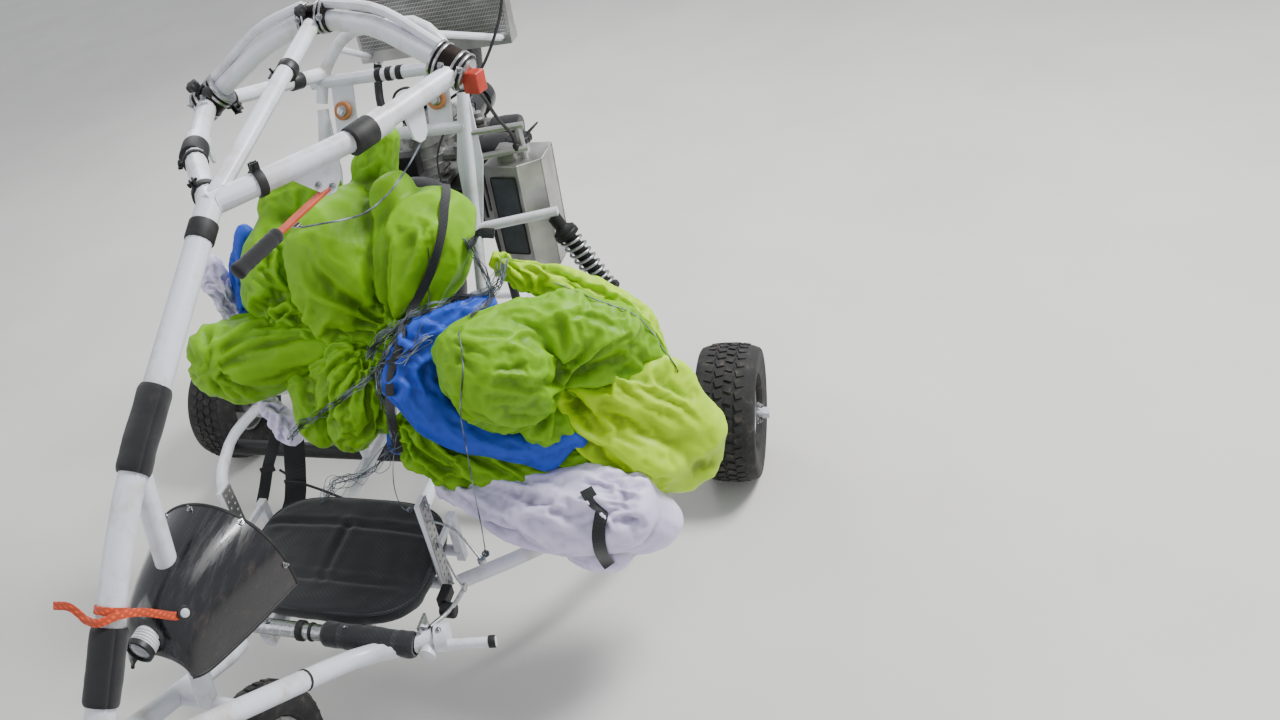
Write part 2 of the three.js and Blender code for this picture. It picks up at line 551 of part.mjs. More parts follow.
// Fuel tank hung outboard of the right post
const TANK = { low: 660, high: 996 };
const TANK_PLAN = [[241, 548], [343, 528], [404, 566], [408, 668], [262, 690]];
function tank() {
  const body = plate(TANK_PLAN, TANK.high - TANK.low, [0, 0, (TANK.low + TANK.high) / 2], [1, 0, 0], [0, 1, 0]);
  const arms = [1030, 1096].map((z) => rod(postAt(POST_FOOT[0], z), [372, 566, z], 20, 10));
  const hanger = rod([356, 566, 1096], [356, 580, 980], 20, 10);
  const padBlock = block([48, 44, 42], [306, 582, 1014]);
  const neck = rod([330, 630, TANK.high - 4], [330, 630, TANK.high + 30], 56, 14);
  return join([body, ...arms, hanger, padBlock, neck]);
}
const strutLine = { from: SHOCK_TOP, to: [734, 478, 262] };
const shockSolid = (sign) => turnedBetween(flip(sign, strutLine.from), flip(sign, strutLine.to), [
  [0, 0], [18, 0], [18, 0.06], [30, 0.07], [30, 0.11], [20, 0.12], ...[0, 1, 2, 3, 4, 5].flatMap((k) => [
    [22, 0.125 + k * 0.042], [33, 0.146 + k * 0.042]]), [22, 0.378], [30, 0.385], [30, 0.4], [11, 0.42], [11, 1], [0, 1]], 12);
const shockCut = (sign) => turnedBetween(flip(sign, strutLine.from), flip(sign, strutLine.to), [
  [0, -0.01], [33, -0.01], [34, 0.4], [14, 0.44], [12, 1], [0, 1]]);
addSides('coil_strut', (sign) => cut(shockSolid(sign), stayRod(sign, GAP), knuckleBlock(sign, GAP), trailingTube(sign, GAP)), BLACK);
addPiece('fuel_tank', cut(tank(), postTube(1, GAP), gusset(1, GAP), shockCut(1), stayRod(1, GAP), barRods(GAP)), ALLOY);

// Seats: a low front pan on the keel frame, its roll on the crossbar, and the raised rear seat
const frontSeat = (grow) => plump([0, -372, 372], [258 + grow, 186 + grow, 36 + grow], 0.55, [0.05, 0, 0]);
addPiece('front_seat', cut(frontSeat(0), keelCut(GAP), crossbar(GAP)), BLACK);
addPiece('front_roll', cut(rod([46, CROSSBAR.y, CROSSBAR.z], [284, CROSSBAR.y, CROSSBAR.z], 62, 16), frontSeat(GAP), crossbar(GAP),
  railTube(1, GAP), railTube(-1, GAP), keelCradle(1, GAP), keelCut(GAP)), BLACK);
const SEAT_TUBE = 26;
function seatTubes(grow) {
  const d = SEAT_TUBE + 2 * grow;
  const parts = [];
  for (const s of [-1, 1]) {
    parts.push(rod([s * KEEL.x, 60, KEEL.z + KEEL_D / 2 + GAP], [s * 150, 60, 580], d, 12));
    parts.push(rod([s * 150, 30, 580], [s * 150, 330, 560], d, 12));
    parts.push(rod([s * KEEL.x, 200, KEEL.z + KEEL_D / 2 + GAP], [s * 150, 290, 565], d, 12));
  }
  parts.push(rod([-163, 60, 580], [163, 60, 580], d, 12));
  parts.push(rod([-163, 290, 564], [163, 290, 564], d, 12));
  return join(parts);
}
addPiece('rear_seat_frame', cut(seatTubes(0), keelCut(GAP)), PAINT);
const rearSeat = (grow) => join([
  plump([0, 180, 616], [205 + grow, 165 + grow, 38 + grow], 0.5, [-0.06, 0, 0]),
  plump([0, 372, 812], [190 + grow, 36 + grow, 230 + grow], 0.5, [-0.34, 0, 0]),
]);
addPiece('rear_seat', cut(rearSeat(0), seatTubes(GAP)), BLACK);

// Lever with its foam grip, pinned under the hang plate
const LEVER = { from: [157, -129, 1292], to: [52, -428, 1250] };
addPiece('lever', cut(join([
  rod(LEVER.from, along(LEVER.from, LEVER.to, 0.62), 20, 10),
  rod(along(LEVER.from, LEVER.to, 0.58), LEVER.to, 38, 14),
]), hangPlate(1, GAP)), { color: 0xd0481e, roughness: 0.5, metalness: 0.1 });

// Bundled wing: soft closed bodies. Columns are name, centre, radii, power, turn, colour
const WING = [
  ['wing_back', [10, 70, 930], [285, 170, 270], 0.75, [-0.3, 0.1, 0.1], 0x8fc21c],
  ['wing_roll_left', [-372, -30, 745], [170, 150, 125], 0.8, [0, 0.2, 0.2], 0x86ba1c],
  ['wing_lobe_right', [446, -105, 812], [215, 180, 195], 0.8, [0, 0.35, -0.2], 0x9ad01f],
  ['wing_tail', [728, -80, 600], [150, 125, 118], 0.8, [0, 0.6, 0.1], 0xb6dc1c],
  ['wing_blue', [170, -130, 612], [105, 110, 150], 0.8, [0.2, 0.2, 0], 0x2f55b5],
  ['wing_white', [540, -190, 448], [258, 128, 138], 0.8, [0, 0.35, 0], 0xd9d5e8],
];
const grown = (radii) => radii.map((r) => r + GAP);
const wingNeighbours = [rearSeat(GAP), trailingTube(1, GAP), trailingTube(-1, GAP), axleBeamCut(GAP), seatTubes(2 * GAP), frontSeat(GAP)];
for (const [name, centre, radii, power, turn, color] of WING) {
  addPiece(name, cut(plump(centre, radii, power, turn), ...wingNeighbours), { color, roughness: 0.6, metalness: 0 });
  wingNeighbours.push(plump(centre, grown(radii), power, turn));
}

// Fork: stem, crown, two legs back to the axle
const AXLE = [0, FRONT_WHEEL.y, FRONT_WHEEL.r];
function fork() {
  const parts = [rod(steerPoint(596), steerPoint(HEAD.high + 6), 34, 16), rod(steerPoint(578), steerPoint(HEAD.low - 6), 70, 16)];
  const crown = steerPoint(592);
  parts.push(rod([-92, crown[1], crown[2]], [92, crown[1], crown[2]], 44, 14));
  parts.push(rod(steerPoint(HEAD.high + 5), steerPoint(HEAD.high + 18), 52, 16));
  for (const s of [-1, 1]) {
    const low = [s * 76, AXLE[1], AXLE[2]];
    parts.push(rod([s * 76, crown[1], crown[2]], along([s * 76, crown[1], crown[2]], low, 0.55), 40));
    parts.push(rod(along([s * 76, crown[1], crown[2]], low, 0.5), low, 32));
    parts.push(rod([s * 58, AXLE[1], AXLE[2]], [s * 96, AXLE[1], AXLE[2]], 44));
  }
  parts.push(rod([-70, AXLE[1], AXLE[2]], [70, AXLE[1], AXLE[2]], 18, 14));
  return join(parts);
}
addPiece('fork', fork(), ALLOY);

// Wheels: rows are [radius, distance across]
function tyre(r, w, rimR) {
  const h = w / 2;
  return [[rimR, -h * 0.72], [rimR + 6, -h * 0.86], [r * 0.82, -h], [r * 0.93, -h * 0.94], [r * 0.985, -h * 0.72], [r, -h * 0.3],
    [r, h * 0.3], [r * 0.985, h * 0.72], [r * 0.93, h * 0.94], [r * 0.82, h], [rimR + 6, h * 0.86], [rimR, h * 0.72], [rimR, -h * 0.72]];
}
function rim(rimR, w, hubR, bore) {
  const h = w / 2 * 0.72;
  const lip = rimR - 1.2;
  return [[bore, -h * 0.9], [hubR, -h * 0.9], [hubR, -12], [lip - 16, -12], [lip - 16, -h * 0.5], [lip - 9, -h], [lip, -h],
    [lip, h], [lip - 9, h], [lip - 16, h * 0.5], [lip - 16, 2], [hubR, 2], [hubR, h * 0.9], [bore, h * 0.9], [bore, -h * 0.9]];
}
const REAR_RIM = 102;
for (const [side, sign] of [['left', -1], ['right', 1]]) {
  const centre = [sign * REAR_WHEEL.x, REAR_WHEEL.y, REAR_WHEEL.r];
  addPiece(`rear_tyre_${side}`, turned(tyre(REAR_WHEEL.r, REAR_WHEEL.w, REAR_RIM), 'x', centre, 28), BLACK);
  addPiece(`rear_rim_${side}`, turned(rim(REAR_RIM, REAR_WHEEL.w, 38, 13.5), 'x', centre, 20), ALLOY);
}
const FRONT_RIM = 156;
addPiece('front_tyre', turned(tyre(FRONT_WHEEL.r, FRONT_WHEEL.w, FRONT_RIM), 'x', AXLE, 30), BLACK);
addPiece('front_rim', turned(rim(FRONT_RIM, FRONT_WHEEL.w, 34, 9.9), 'x', AXLE, 24), ALLOY);

export default craft;
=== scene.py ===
"""Looks of a parked two-seat paramotor trike, built around its CAD frame.

The wing lies bundled over the seats. Everything is in metres in the CAD frame:
+Z up, the craft faces -Y, and the origin is on the ground under its middle.
"""

import json
import math

import bmesh
import bpy
import numpy as np
from mathutils import Matrix, Vector, noise
from mathutils.bvhtree import BVHTree

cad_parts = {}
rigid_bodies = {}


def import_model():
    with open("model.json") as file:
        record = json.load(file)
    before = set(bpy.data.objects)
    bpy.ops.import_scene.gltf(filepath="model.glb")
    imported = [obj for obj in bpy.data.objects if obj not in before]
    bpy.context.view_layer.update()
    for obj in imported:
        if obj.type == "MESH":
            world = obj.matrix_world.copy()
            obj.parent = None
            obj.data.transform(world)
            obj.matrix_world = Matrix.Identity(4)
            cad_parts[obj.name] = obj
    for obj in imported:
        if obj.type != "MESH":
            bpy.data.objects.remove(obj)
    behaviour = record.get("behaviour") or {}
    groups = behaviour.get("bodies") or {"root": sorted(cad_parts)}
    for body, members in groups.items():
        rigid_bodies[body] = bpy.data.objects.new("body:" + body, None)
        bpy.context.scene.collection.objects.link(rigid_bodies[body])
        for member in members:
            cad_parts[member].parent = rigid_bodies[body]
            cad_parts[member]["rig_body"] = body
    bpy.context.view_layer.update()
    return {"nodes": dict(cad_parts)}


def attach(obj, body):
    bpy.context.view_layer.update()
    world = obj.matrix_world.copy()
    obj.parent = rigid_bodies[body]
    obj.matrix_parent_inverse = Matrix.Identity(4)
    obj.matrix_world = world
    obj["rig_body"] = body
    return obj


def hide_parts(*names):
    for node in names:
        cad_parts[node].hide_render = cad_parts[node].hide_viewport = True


bl_info = {
    "name": "Paramotor trike looks",
    "version": (1, 0, 0),
    "blender": (4, 5, 0),
    "location": "View3D > Sidebar > Trike",
    "description": "Builds the looks of a parked two-seat paramotor trike around its CAD frame",
    "category": "Object",
}

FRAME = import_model()
MM = 0.001
# Edges sharper than this stay crisp, and are rounded by live bevels
SHARP_DEGREES = 34.0
X_AXIS = Vector((1, 0, 0))
Y_AXIS = Vector((0, 1, 0))
Z_AXIS = Vector((0, 0, 1))


def linear(code):
    """Turns an sRGB hex colour into linear red, green and blue."""
    parts = [int(code[k : k + 2], 16) / 255 for k in (0, 2, 4)]
    return tuple(p / 12.92 if p <= 0.04045 else ((p + 0.055) / 1.055) ** 2.4 for p in parts)


def solid_colour(code, shade=1.0):
    """A hex colour as the four numbers of a colour socket."""
    return (*[min(1.0, p * shade) for p in linear(code)], 1.0)


def per_metre(size_mm):
    """How many features of this size in millimetres fit in a metre, for texture scales."""
    return 1000.0 / size_mm


# Settings that a user may change
def tint(label, code, use):
    """A colour property with its default from a hex code."""
    return bpy.props.FloatVectorProperty(
        name=label, description=use, subtype="COLOR", size=3, min=0, max=1, default=linear(code)
    )


def size(label, default_mm, use):
    """A length property in metres with its default in millimetres."""
    return bpy.props.FloatProperty(
        name=label, description=use, unit="LENGTH", subtype="DISTANCE", min=0, default=default_mm * MM
    )


class TrikeColours(bpy.types.PropertyGroup):
    """Colours of the main finishes."""

    paint: tint("Frame paint", "dfe1ea", "Powder coat on the frame tubes")
    sail: tint("Sail", "6ca000", "Main cloth of the bundled wing")
    # Partly the tip's own brighter cloth and partly painted sunlight: the wing's tail and its sunlit crest
    # take this colour
    sail_tip: tint("Sail tip", "a2cc00", "Brighter cloth of the wing's tip")
    sail_band: tint("Sail band", "2448b0", "Blue band across the wing")
    sail_lining: tint("Sail lining", "cdc4e2", "Pale lower cloth of the wing")
    cowl: tint("Cowl", "0f1014", "Gelcoat of the nose cowl")


class TrikeSizes(bpy.types.PropertyGroup):
    """Sizes of the fitted detail."""

    edge: size("Edge radius", 0.9, "Rounding of the frame's cut edges")
    voxel: size("Cloth mesh", 8.8, "Mesh size of the bundled cloth before it is subdivided")
    fold: size("Fold height", 7, "Height of the folds pressed into the bundled cloth")
    line: size("Line diameter", 1.8, "Diameter of the wing's suspension lines")
    weld: size("Weld bead", 5, "Width of the weld beads at the tube joints")
    tread: size("Tread depth", 5, "Height of the tyre's tread blocks")


def colours():
    """The scene's colour settings."""
    return bpy.context.scene.trike_colours


def sizes():
    """The scene's size settings."""
    return bpy.context.scene.trike_sizes


# Node and material tools
def add(tree, kind, inputs=None, stops=None, **settings):
    """Adds one node, sets its properties and ramp stops, and sets or links its inputs."""
    made = tree.nodes.new(kind)
    for key, value in settings.items():
        setattr(made, key, value)
    if stops:
        ramp = made.color_ramp
        ramp.elements.remove(ramp.elements[1])
        ramp.elements[0].position = stops[0][0]
        ramp.elements[0].color = stops[0][1]
        for place, colour in stops[1:]:
            ramp.elements.new(place).color = colour
    for key, value in (inputs or {}).items():
        socket = made.inputs[key]
        if isinstance(value, bpy.types.NodeSocket):
            tree.links.new(value, socket)
        else:
            socket.default_value = value
    return made


FINISHES = {}


def finish(build):
    """Marks a function as a finish: it is built once, and its material is kept by name."""

    def get(*args):
        key = build.__name__ + "".join(f".{a}" for a in args)
        if key not in FINISHES:
            made = bpy.data.materials.new(key)
            made.use_nodes = True
            tree = made.node_tree
            shader = tree.nodes["Principled BSDF"]
            place = add(tree, "ShaderNodeTexCoord").outputs["Object"]
            build(tree, shader, place, *args)
            FINISHES[key] = made
        return FINISHES[key]

    get.__name__ = build.__name__
    return get


def put(tree, shader, constants, **links):
    """Sets the shader's constants and links its colour, roughness and normal."""
    for key, value in constants.items():
        shader.inputs[key].default_value = value
    for key, socket in links.items():
        tree.links.new(socket, shader.inputs[{"colour": "Base Color", "roughness": "Roughness",
                                              "normal": "Normal"}[key]])


GREY_LOW = (0, 0, 0, 1)
GREY_HIGH = (1, 1, 1, 1)


@finish
def powder_coated_steel(tree, shader, place):
    """Steel tube under white powder coat: cured orange peel, field dust and small scuffs show."""
    paint = (*colours().paint, 1)
    peel = add(tree, "ShaderNodeTexNoise", {"Vector": place, "Scale": per_metre(2.2), "Detail": 2})
    dust = add(tree, "ShaderNodeTexNoise", {"Vector": place, "Scale": per_metre(90), "Detail": 6,
                                            "Roughness": 0.65})
    dust_mask = add(tree, "ShaderNodeValToRGB", {"Fac": dust.outputs["Fac"]},
                    stops=[(0.5, GREY_LOW), (0.78, GREY_HIGH)])
    dusty = add(
        tree, "ShaderNodeMix", {0: dust_mask.outputs["Color"], 6: paint, 7: solid_colour("b9b0a2")},
        data_type="RGBA"
    )
    scuff_place = add(tree, "ShaderNodeMapping", {"Vector": place, "Scale": (1.0, 0.35, 0.35)})
    scuffs = add(
        tree, "ShaderNodeTexNoise",
        {"Vector": scuff_place.outputs["Vector"], "Scale": per_metre(9), "Detail": 8, "Roughness": 0.8,
         "Distortion": 1.5},
    )
    scuff_mask = add(tree, "ShaderNodeValToRGB", {"Fac": scuffs.outputs["Fac"]},
                     stops=[(0.665, GREY_LOW), (0.70, GREY_HIGH)])
    worn = add(
        tree, "ShaderNodeMix", {0: scuff_mask.outputs["Color"], 6: dusty.outputs[2],
                                7: solid_colour("6f6c70")},
        data_type="RGBA",
    )
    rough = add(tree, "ShaderNodeMapRange", {"Value": dust.outputs["Fac"], "To Min": 0.24, "To Max": 0.52})
    bump = add(tree, "ShaderNodeBump", {"Height": peel.outputs["Fac"], "Strength": 0.12,
                                        "Distance": 0.4 * MM})
    put(
        tree, shader, {"IOR": 1.5, "Coat Weight": 0.15, "Coat Roughness": 0.2},
        colour=worn.outputs[2], roughness=rough.outputs["Result"], normal=bump.outputs["Normal"],
    )


def metal_grain(tree, place, grain_mm, stretch=(1, 1, 1)):
    """Fine grain for a metal surface, drawn out along the lighter axes of stretch."""
    drawn = add(tree, "ShaderNodeMapping", {"Vector": place, "Scale": stretch})
    return add(
        tree, "ShaderNodeTexNoise",
        {"Vector": drawn.outputs["Vector"], "Scale": per_metre(grain_mm), "Detail": 5, "Roughness": 0.6},
    )


@finish
def bronze_anodised_aluminium(tree, shader, place):
    """Turned aluminium clamp, anodised dark bronze: satin with brown wear where hands grip it."""
    grain = metal_grain(tree, place, 5, (1, 0.2, 1))
    wear = add(tree, "ShaderNodeTexNoise", {"Vector": place, "Scale": per_metre(26), "Detail": 5,
                                            "Roughness": 0.7})
    colour = add(
        tree, "ShaderNodeValToRGB", {"Fac": wear.outputs["Fac"]},
        stops=[(0.3, solid_colour("1d1a19")), (0.6, solid_colour("2c2420")), (0.8, solid_colour("5c4636"))],
    )
    rough = add(tree, "ShaderNodeMapRange", {"Value": grain.outputs["Fac"], "To Min": 0.3, "To Max": 0.5})
    bump = add(tree, "ShaderNodeBump", {"Height": grain.outputs["Fac"], "Strength": 0.15,
                                        "Distance": 0.3 * MM})
    put(tree, shader, {"Metallic": 0.85}, colour=colour.outputs["Color"], roughness=rough.outputs["Result"],
        normal=bump.outputs["Normal"])


@finish
def closed_cell_foam(tree, shader, place):
    """Split closed-cell foam sleeve: matt black with open pores and a dusty bloom."""
    pores = add(tree, "ShaderNodeTexVoronoi", {"Vector": place, "Scale": per_metre(3.2), "Randomness": 1})
    bloom = add(tree, "ShaderNodeTexNoise", {"Vector": place, "Scale": per_metre(70), "Detail": 6,
                                             "Roughness": 0.7})
    colour = add(
        tree, "ShaderNodeValToRGB", {"Fac": bloom.outputs["Fac"]},
        stops=[(0.35, solid_colour("0e0e10")), (0.62, solid_colour("19191c")),
               (0.82, solid_colour("38332e"))],
    )
    bump = add(tree, "ShaderNodeBump", {"Height": pores.outputs["Distance"], "Strength": 0.5,
                                        "Distance": 0.7 * MM})
    put(tree, shader, {"Roughness": 0.93, "Sheen Weight": 0.15, "Sheen Roughness": 0.6},
        colour=colour.outputs["Color"], normal=bump.outputs["Normal"])


@finish
def gelcoat_fibreglass(tree, shader, place):
    """Laid-up fibreglass in black gelcoat: deep gloss, with brown streaks that grow stronger towards its
    right half.
    """
    drawn = add(tree, "ShaderNodeMapping", {"Vector": place, "Scale": (1, 0.07, 0.4)})
    side = add(tree, "ShaderNodeSeparateXYZ", {"Vector": place})
    streaks = add(
        tree, "ShaderNodeTexNoise",
        {"Vector": drawn.outputs["Vector"], "Scale": per_metre(9), "Detail": 7, "Roughness": 0.68,
         "Distortion": 0.4},
    )
    # Brown streaks grow stronger towards +X, the cowl's right half
    rightward_bias = add(tree, "ShaderNodeMapRange", {"Value": side.outputs["X"], "From Min": -0.16,
                                              "From Max": 0.14,
                                              "To Min": -0.16, "To Max": 0.04})
    worn = add(tree, "ShaderNodeMath", {0: streaks.outputs["Fac"], 1: rightward_bias.outputs["Result"]},
               operation="ADD")
    colour = add(
        tree, "ShaderNodeValToRGB", {"Fac": worn.outputs[0]},
        stops=[(0.48, (*colours().cowl, 1)), (0.6, solid_colour("1a181b")), (0.7, solid_colour("382b26")),
               (0.8, solid_colour("6a564a"))],
    )
    rough = add(tree, "ShaderNodeMapRange", {"Value": streaks.outputs["Fac"], "From Min": 0.4,
                                             "From Max": 0.7,
                                             "To Min": 0.14, "To Max": 0.5})
    print_through = add(tree, "ShaderNodeTexNoise", {"Vector": place, "Scale": per_metre(12), "Detail": 2})
    bump = add(tree, "ShaderNodeBump", {"Height": print_through.outputs["Fac"], "Strength": 0.1,
                                        "Distance": 0.5 * MM})
    put(tree, shader, {"Coat Weight": 0.5, "Coat Roughness": 0.08}, colour=colour.outputs["Color"],
        roughness=rough.outputs["Result"], normal=bump.outputs["Normal"])


@finish
def tyre_rubber(tree, shader, place):
    """Moulded carbon-black rubber, greyed by dry earth packed on its face."""
    dust = add(tree, "ShaderNodeTexNoise", {"Vector": place, "Scale": per_metre(35), "Detail": 8,
                                            "Roughness": 0.7})
    colour = add(
        tree, "ShaderNodeValToRGB", {"Fac": dust.outputs["Fac"]},
        stops=[(0.3, solid_colour("1a1a1b")), (0.55, solid_colour("2b2a2a")),
               (0.75, solid_colour("5d554b"))],
    )
    grit = add(tree, "ShaderNodeTexNoise", {"Vector": place, "Scale": per_metre(1.6), "Detail": 3})
    bump = add(tree, "ShaderNodeBump", {"Height": grit.outputs["Fac"], "Strength": 0.3,
                                        "Distance": 0.3 * MM})
    put(tree, shader, {"Roughness": 0.86, "IOR": 1.52}, colour=colour.outputs["Color"],
        normal=bump.outputs["Normal"])


@finish
def sand_cast_aluminium(tree, shader, place):
    """Sand-cast aluminium: pebbled skin, dulled by oxide with dark oil in the hollows."""
    skin = metal_grain(tree, place, 1.8)
    stain = add(tree, "ShaderNodeTexNoise", {"Vector": place, "Scale": per_metre(60), "Detail": 6,
                                             "Roughness": 0.7})
    colour = add(
        tree, "ShaderNodeValToRGB", {"Fac": stain.outputs["Fac"]},
        stops=[(0.32, solid_colour("5d5a56")), (0.5, solid_colour("9d9d9c")),
               (0.75, solid_colour("b9bab9"))],
    )
    rough = add(tree, "ShaderNodeMapRange", {"Value": stain.outputs["Fac"], "To Min": 0.65, "To Max": 0.38})
    bump = add(tree, "ShaderNodeBump", {"Height": skin.outputs["Fac"], "Strength": 0.35,
                                        "Distance": 0.4 * MM})
    put(tree, shader, {"Metallic": 0.9}, colour=colour.outputs["Color"], roughness=rough.outputs["Result"],
        normal=bump.outputs["Normal"])


@finish
def black_painted_casting(tree, shader, place):
    """Engine casting in heatproof black: satin with chips down to grey metal."""
    skin = metal_grain(tree, place, 2)
    chips = add(tree, "ShaderNodeTexNoise", {"Vector": place, "Scale": per_metre(14), "Detail": 9,
                                             "Roughness": 0.8})
    colour = add(
        tree, "ShaderNodeValToRGB", {"Fac": chips.outputs["Fac"]},
        stops=[(0.4, solid_colour("161617")), (0.66, solid_colour("242324")),
               (0.72, solid_colour("77726c"))],
    )
    bump = add(tree, "ShaderNodeBump", {"Height": skin.outputs["Fac"], "Strength": 0.3,
                                        "Distance": 0.3 * MM})
    put(tree, shader, {"Roughness": 0.5, "Metallic": 0.3}, colour=colour.outputs["Color"],
        normal=bump.outputs["Normal"])


@finish
def zinc_plated_steel(tree, shader, place):
    """Zinc-plated steel: bright grey with a mottled spangle and faint turning marks."""
    spangle = add(tree, "ShaderNodeTexVoronoi", {"Vector": place, "Scale": per_metre(7), "Randomness": 1})
    grain = metal_grain(tree, place, 3, (0.2, 1, 1))
    colour = add(
        tree, "ShaderNodeValToRGB", {"Fac": spangle.outputs["Distance"]},
        stops=[(0.0, solid_colour("8f9194")), (0.5, solid_colour("a9abad")), (0.9, solid_colour("c2c3c4"))],
    )
    rough = add(tree, "ShaderNodeMapRange", {"Value": grain.outputs["Fac"], "To Min": 0.22, "To Max": 0.42})
    put(tree, shader, {"Metallic": 1.0}, colour=colour.outputs["Color"], roughness=rough.outputs["Result"])


@finish
def brushed_aluminium_sheet(tree, shader, place):
    """Brushed and welded aluminium sheet: fine vertical brushing with handling smears."""
    brushed = metal_grain(tree, place, 2.5, (1, 1, 0.05))
    smear = add(tree, "ShaderNodeTexNoise", {"Vector": place, "Scale": per_metre(80), "Detail": 5})
    colour = add(
        tree, "ShaderNodeValToRGB", {"Fac": smear.outputs["Fac"]},
        stops=[(0.35, solid_colour("a2a19f")), (0.7, solid_colour("c6c5c3"))],
    )
    rough = add(tree, "ShaderNodeMapRange", {"Value": brushed.outputs["Fac"], "To Min": 0.3, "To Max": 0.6})
    bump = add(tree, "ShaderNodeBump", {"Height": brushed.outputs["Fac"], "Strength": 0.1,
                                        "Distance": 0.15 * MM})
    put(tree, shader, {"Metallic": 0.95}, colour=colour.outputs["Color"], roughness=rough.outputs["Result"],
        normal=bump.outputs["Normal"])


@finish
def heat_tinted_steel(tree, shader, place):
    """Bare mild steel exhaust: straw, purple and brown tints from heat, with early rust."""
    bands = add(tree, "ShaderNodeTexNoise", {"Vector": place, "Scale": per_metre(120), "Detail": 4,
                                             "Roughness": 0.5})
    colour = add(
        tree, "ShaderNodeValToRGB", {"Fac": bands.outputs["Fac"]},
        stops=[(0.3, solid_colour("4c4a52")), (0.45, solid_colour("6b5a4a")),
               (0.55, solid_colour("8d7350")),
               (0.7, solid_colour("6a4430"))],
    )
    rust = metal_grain(tree, place, 4)
    rough = add(tree, "ShaderNodeMapRange", {"Value": rust.outputs["Fac"], "To Min": 0.35, "To Max": 0.7})
    bump = add(tree, "ShaderNodeBump", {"Height": rust.outputs["Fac"], "Strength": 0.3,
                                        "Distance": 0.3 * MM})
    put(tree, shader, {"Metallic": 0.85}, colour=colour.outputs["Color"], roughness=rough.outputs["Result"],
        normal=bump.outputs["Normal"])


@finish
def moulded_nylon(tree, shader, place, code):
    """Injection-moulded glass-filled nylon: satin, with a fine spark-eroded texture."""
    texture = add(tree, "ShaderNodeTexNoise", {"Vector": place, "Scale": per_metre(1.5), "Detail": 2})
    fade = add(tree, "ShaderNodeTexNoise", {"Vector": place, "Scale": per_metre(40), "Detail": 4})
    colour = add(
        tree, "ShaderNodeValToRGB", {"Fac": fade.outputs["Fac"]},
        stops=[(0.35, solid_colour(code, 0.8)), (0.7, solid_colour(code, 1.25))],
    )
    bump = add(tree, "ShaderNodeBump", {"Height": texture.outputs["Fac"], "Strength": 0.2,
                                        "Distance": 0.2 * MM})
    put(tree, shader, {"Roughness": 0.48, "IOR": 1.53}, colour=colour.outputs["Color"],
        normal=bump.outputs["Normal"])


@finish
def extruded_rubber(tree, shader, place):
    """Extruded rubber hose and sleeve: soft black with a chalky bloom."""
    bloom = add(tree, "ShaderNodeTexNoise", {"Vector": place, "Scale": per_metre(30), "Detail": 5,
                                             "Roughness": 0.6})
    colour = add(
        tree, "ShaderNodeValToRGB", {"Fac": bloom.outputs["Fac"]},
        stops=[(0.4, solid_colour("101011")), (0.75, solid_colour("2c2b2b"))],
    )
    bump = add(tree, "ShaderNodeBump", {"Height": bloom.outputs["Fac"], "Strength": 0.1,
                                        "Distance": 0.3 * MM})
    put(tree, shader, {"Roughness": 0.62}, colour=colour.outputs["Color"], normal=bump.outputs["Normal"])


@finish
def woven_polyester(tree, shader, place, code):
    """Heavy woven polyester, as on seats and webbing: a coarse weave with dusty high threads."""
    weave_a = add(tree, "ShaderNodeTexWave", {"Vector": place, "Scale": per_metre(3.4) / 6.28,
                                              "Distortion": 0.4, "Detail": 1},
                  bands_direction="DIAGONAL")
    turned_place = add(tree, "ShaderNodeMapping", {"Vector": place, "Rotation": (0.4, 0.9, 1.4)})
    weave_b = add(tree, "ShaderNodeTexWave",
                  {"Vector": turned_place.outputs["Vector"], "Scale": per_metre(3.4) / 6.28,
                   "Distortion": 0.4, "Detail": 1},
                  bands_direction="DIAGONAL")
    threads = add(tree, "ShaderNodeMath", {0: weave_a.outputs["Fac"], 1: weave_b.outputs["Fac"]},
                  operation="MULTIPLY")
    dust = add(tree, "ShaderNodeTexNoise", {"Vector": place, "Scale": per_metre(60), "Detail": 7,
                                            "Roughness": 0.7})
    mask = add(tree, "ShaderNodeMath", {0: threads.outputs[0], 1: dust.outputs["Fac"]},
               operation="MULTIPLY")
    colour = add(
        tree, "ShaderNodeValToRGB", {"Fac": mask.outputs[0]},
        stops=[(0.0, solid_colour(code, 0.75)), (0.25, solid_colour(code, 1.1)),
               (0.6, solid_colour(code, 1.9))],
    )
    bump = add(tree, "ShaderNodeBump", {"Height": threads.outputs[0], "Strength": 0.35,
                                        "Distance": 0.5 * MM})
    put(tree, shader, {"Roughness": 0.82, "Sheen Weight": 0.3, "Sheen Roughness": 0.5},
        colour=colour.outputs["Color"],
        normal=bump.outputs["Normal"])


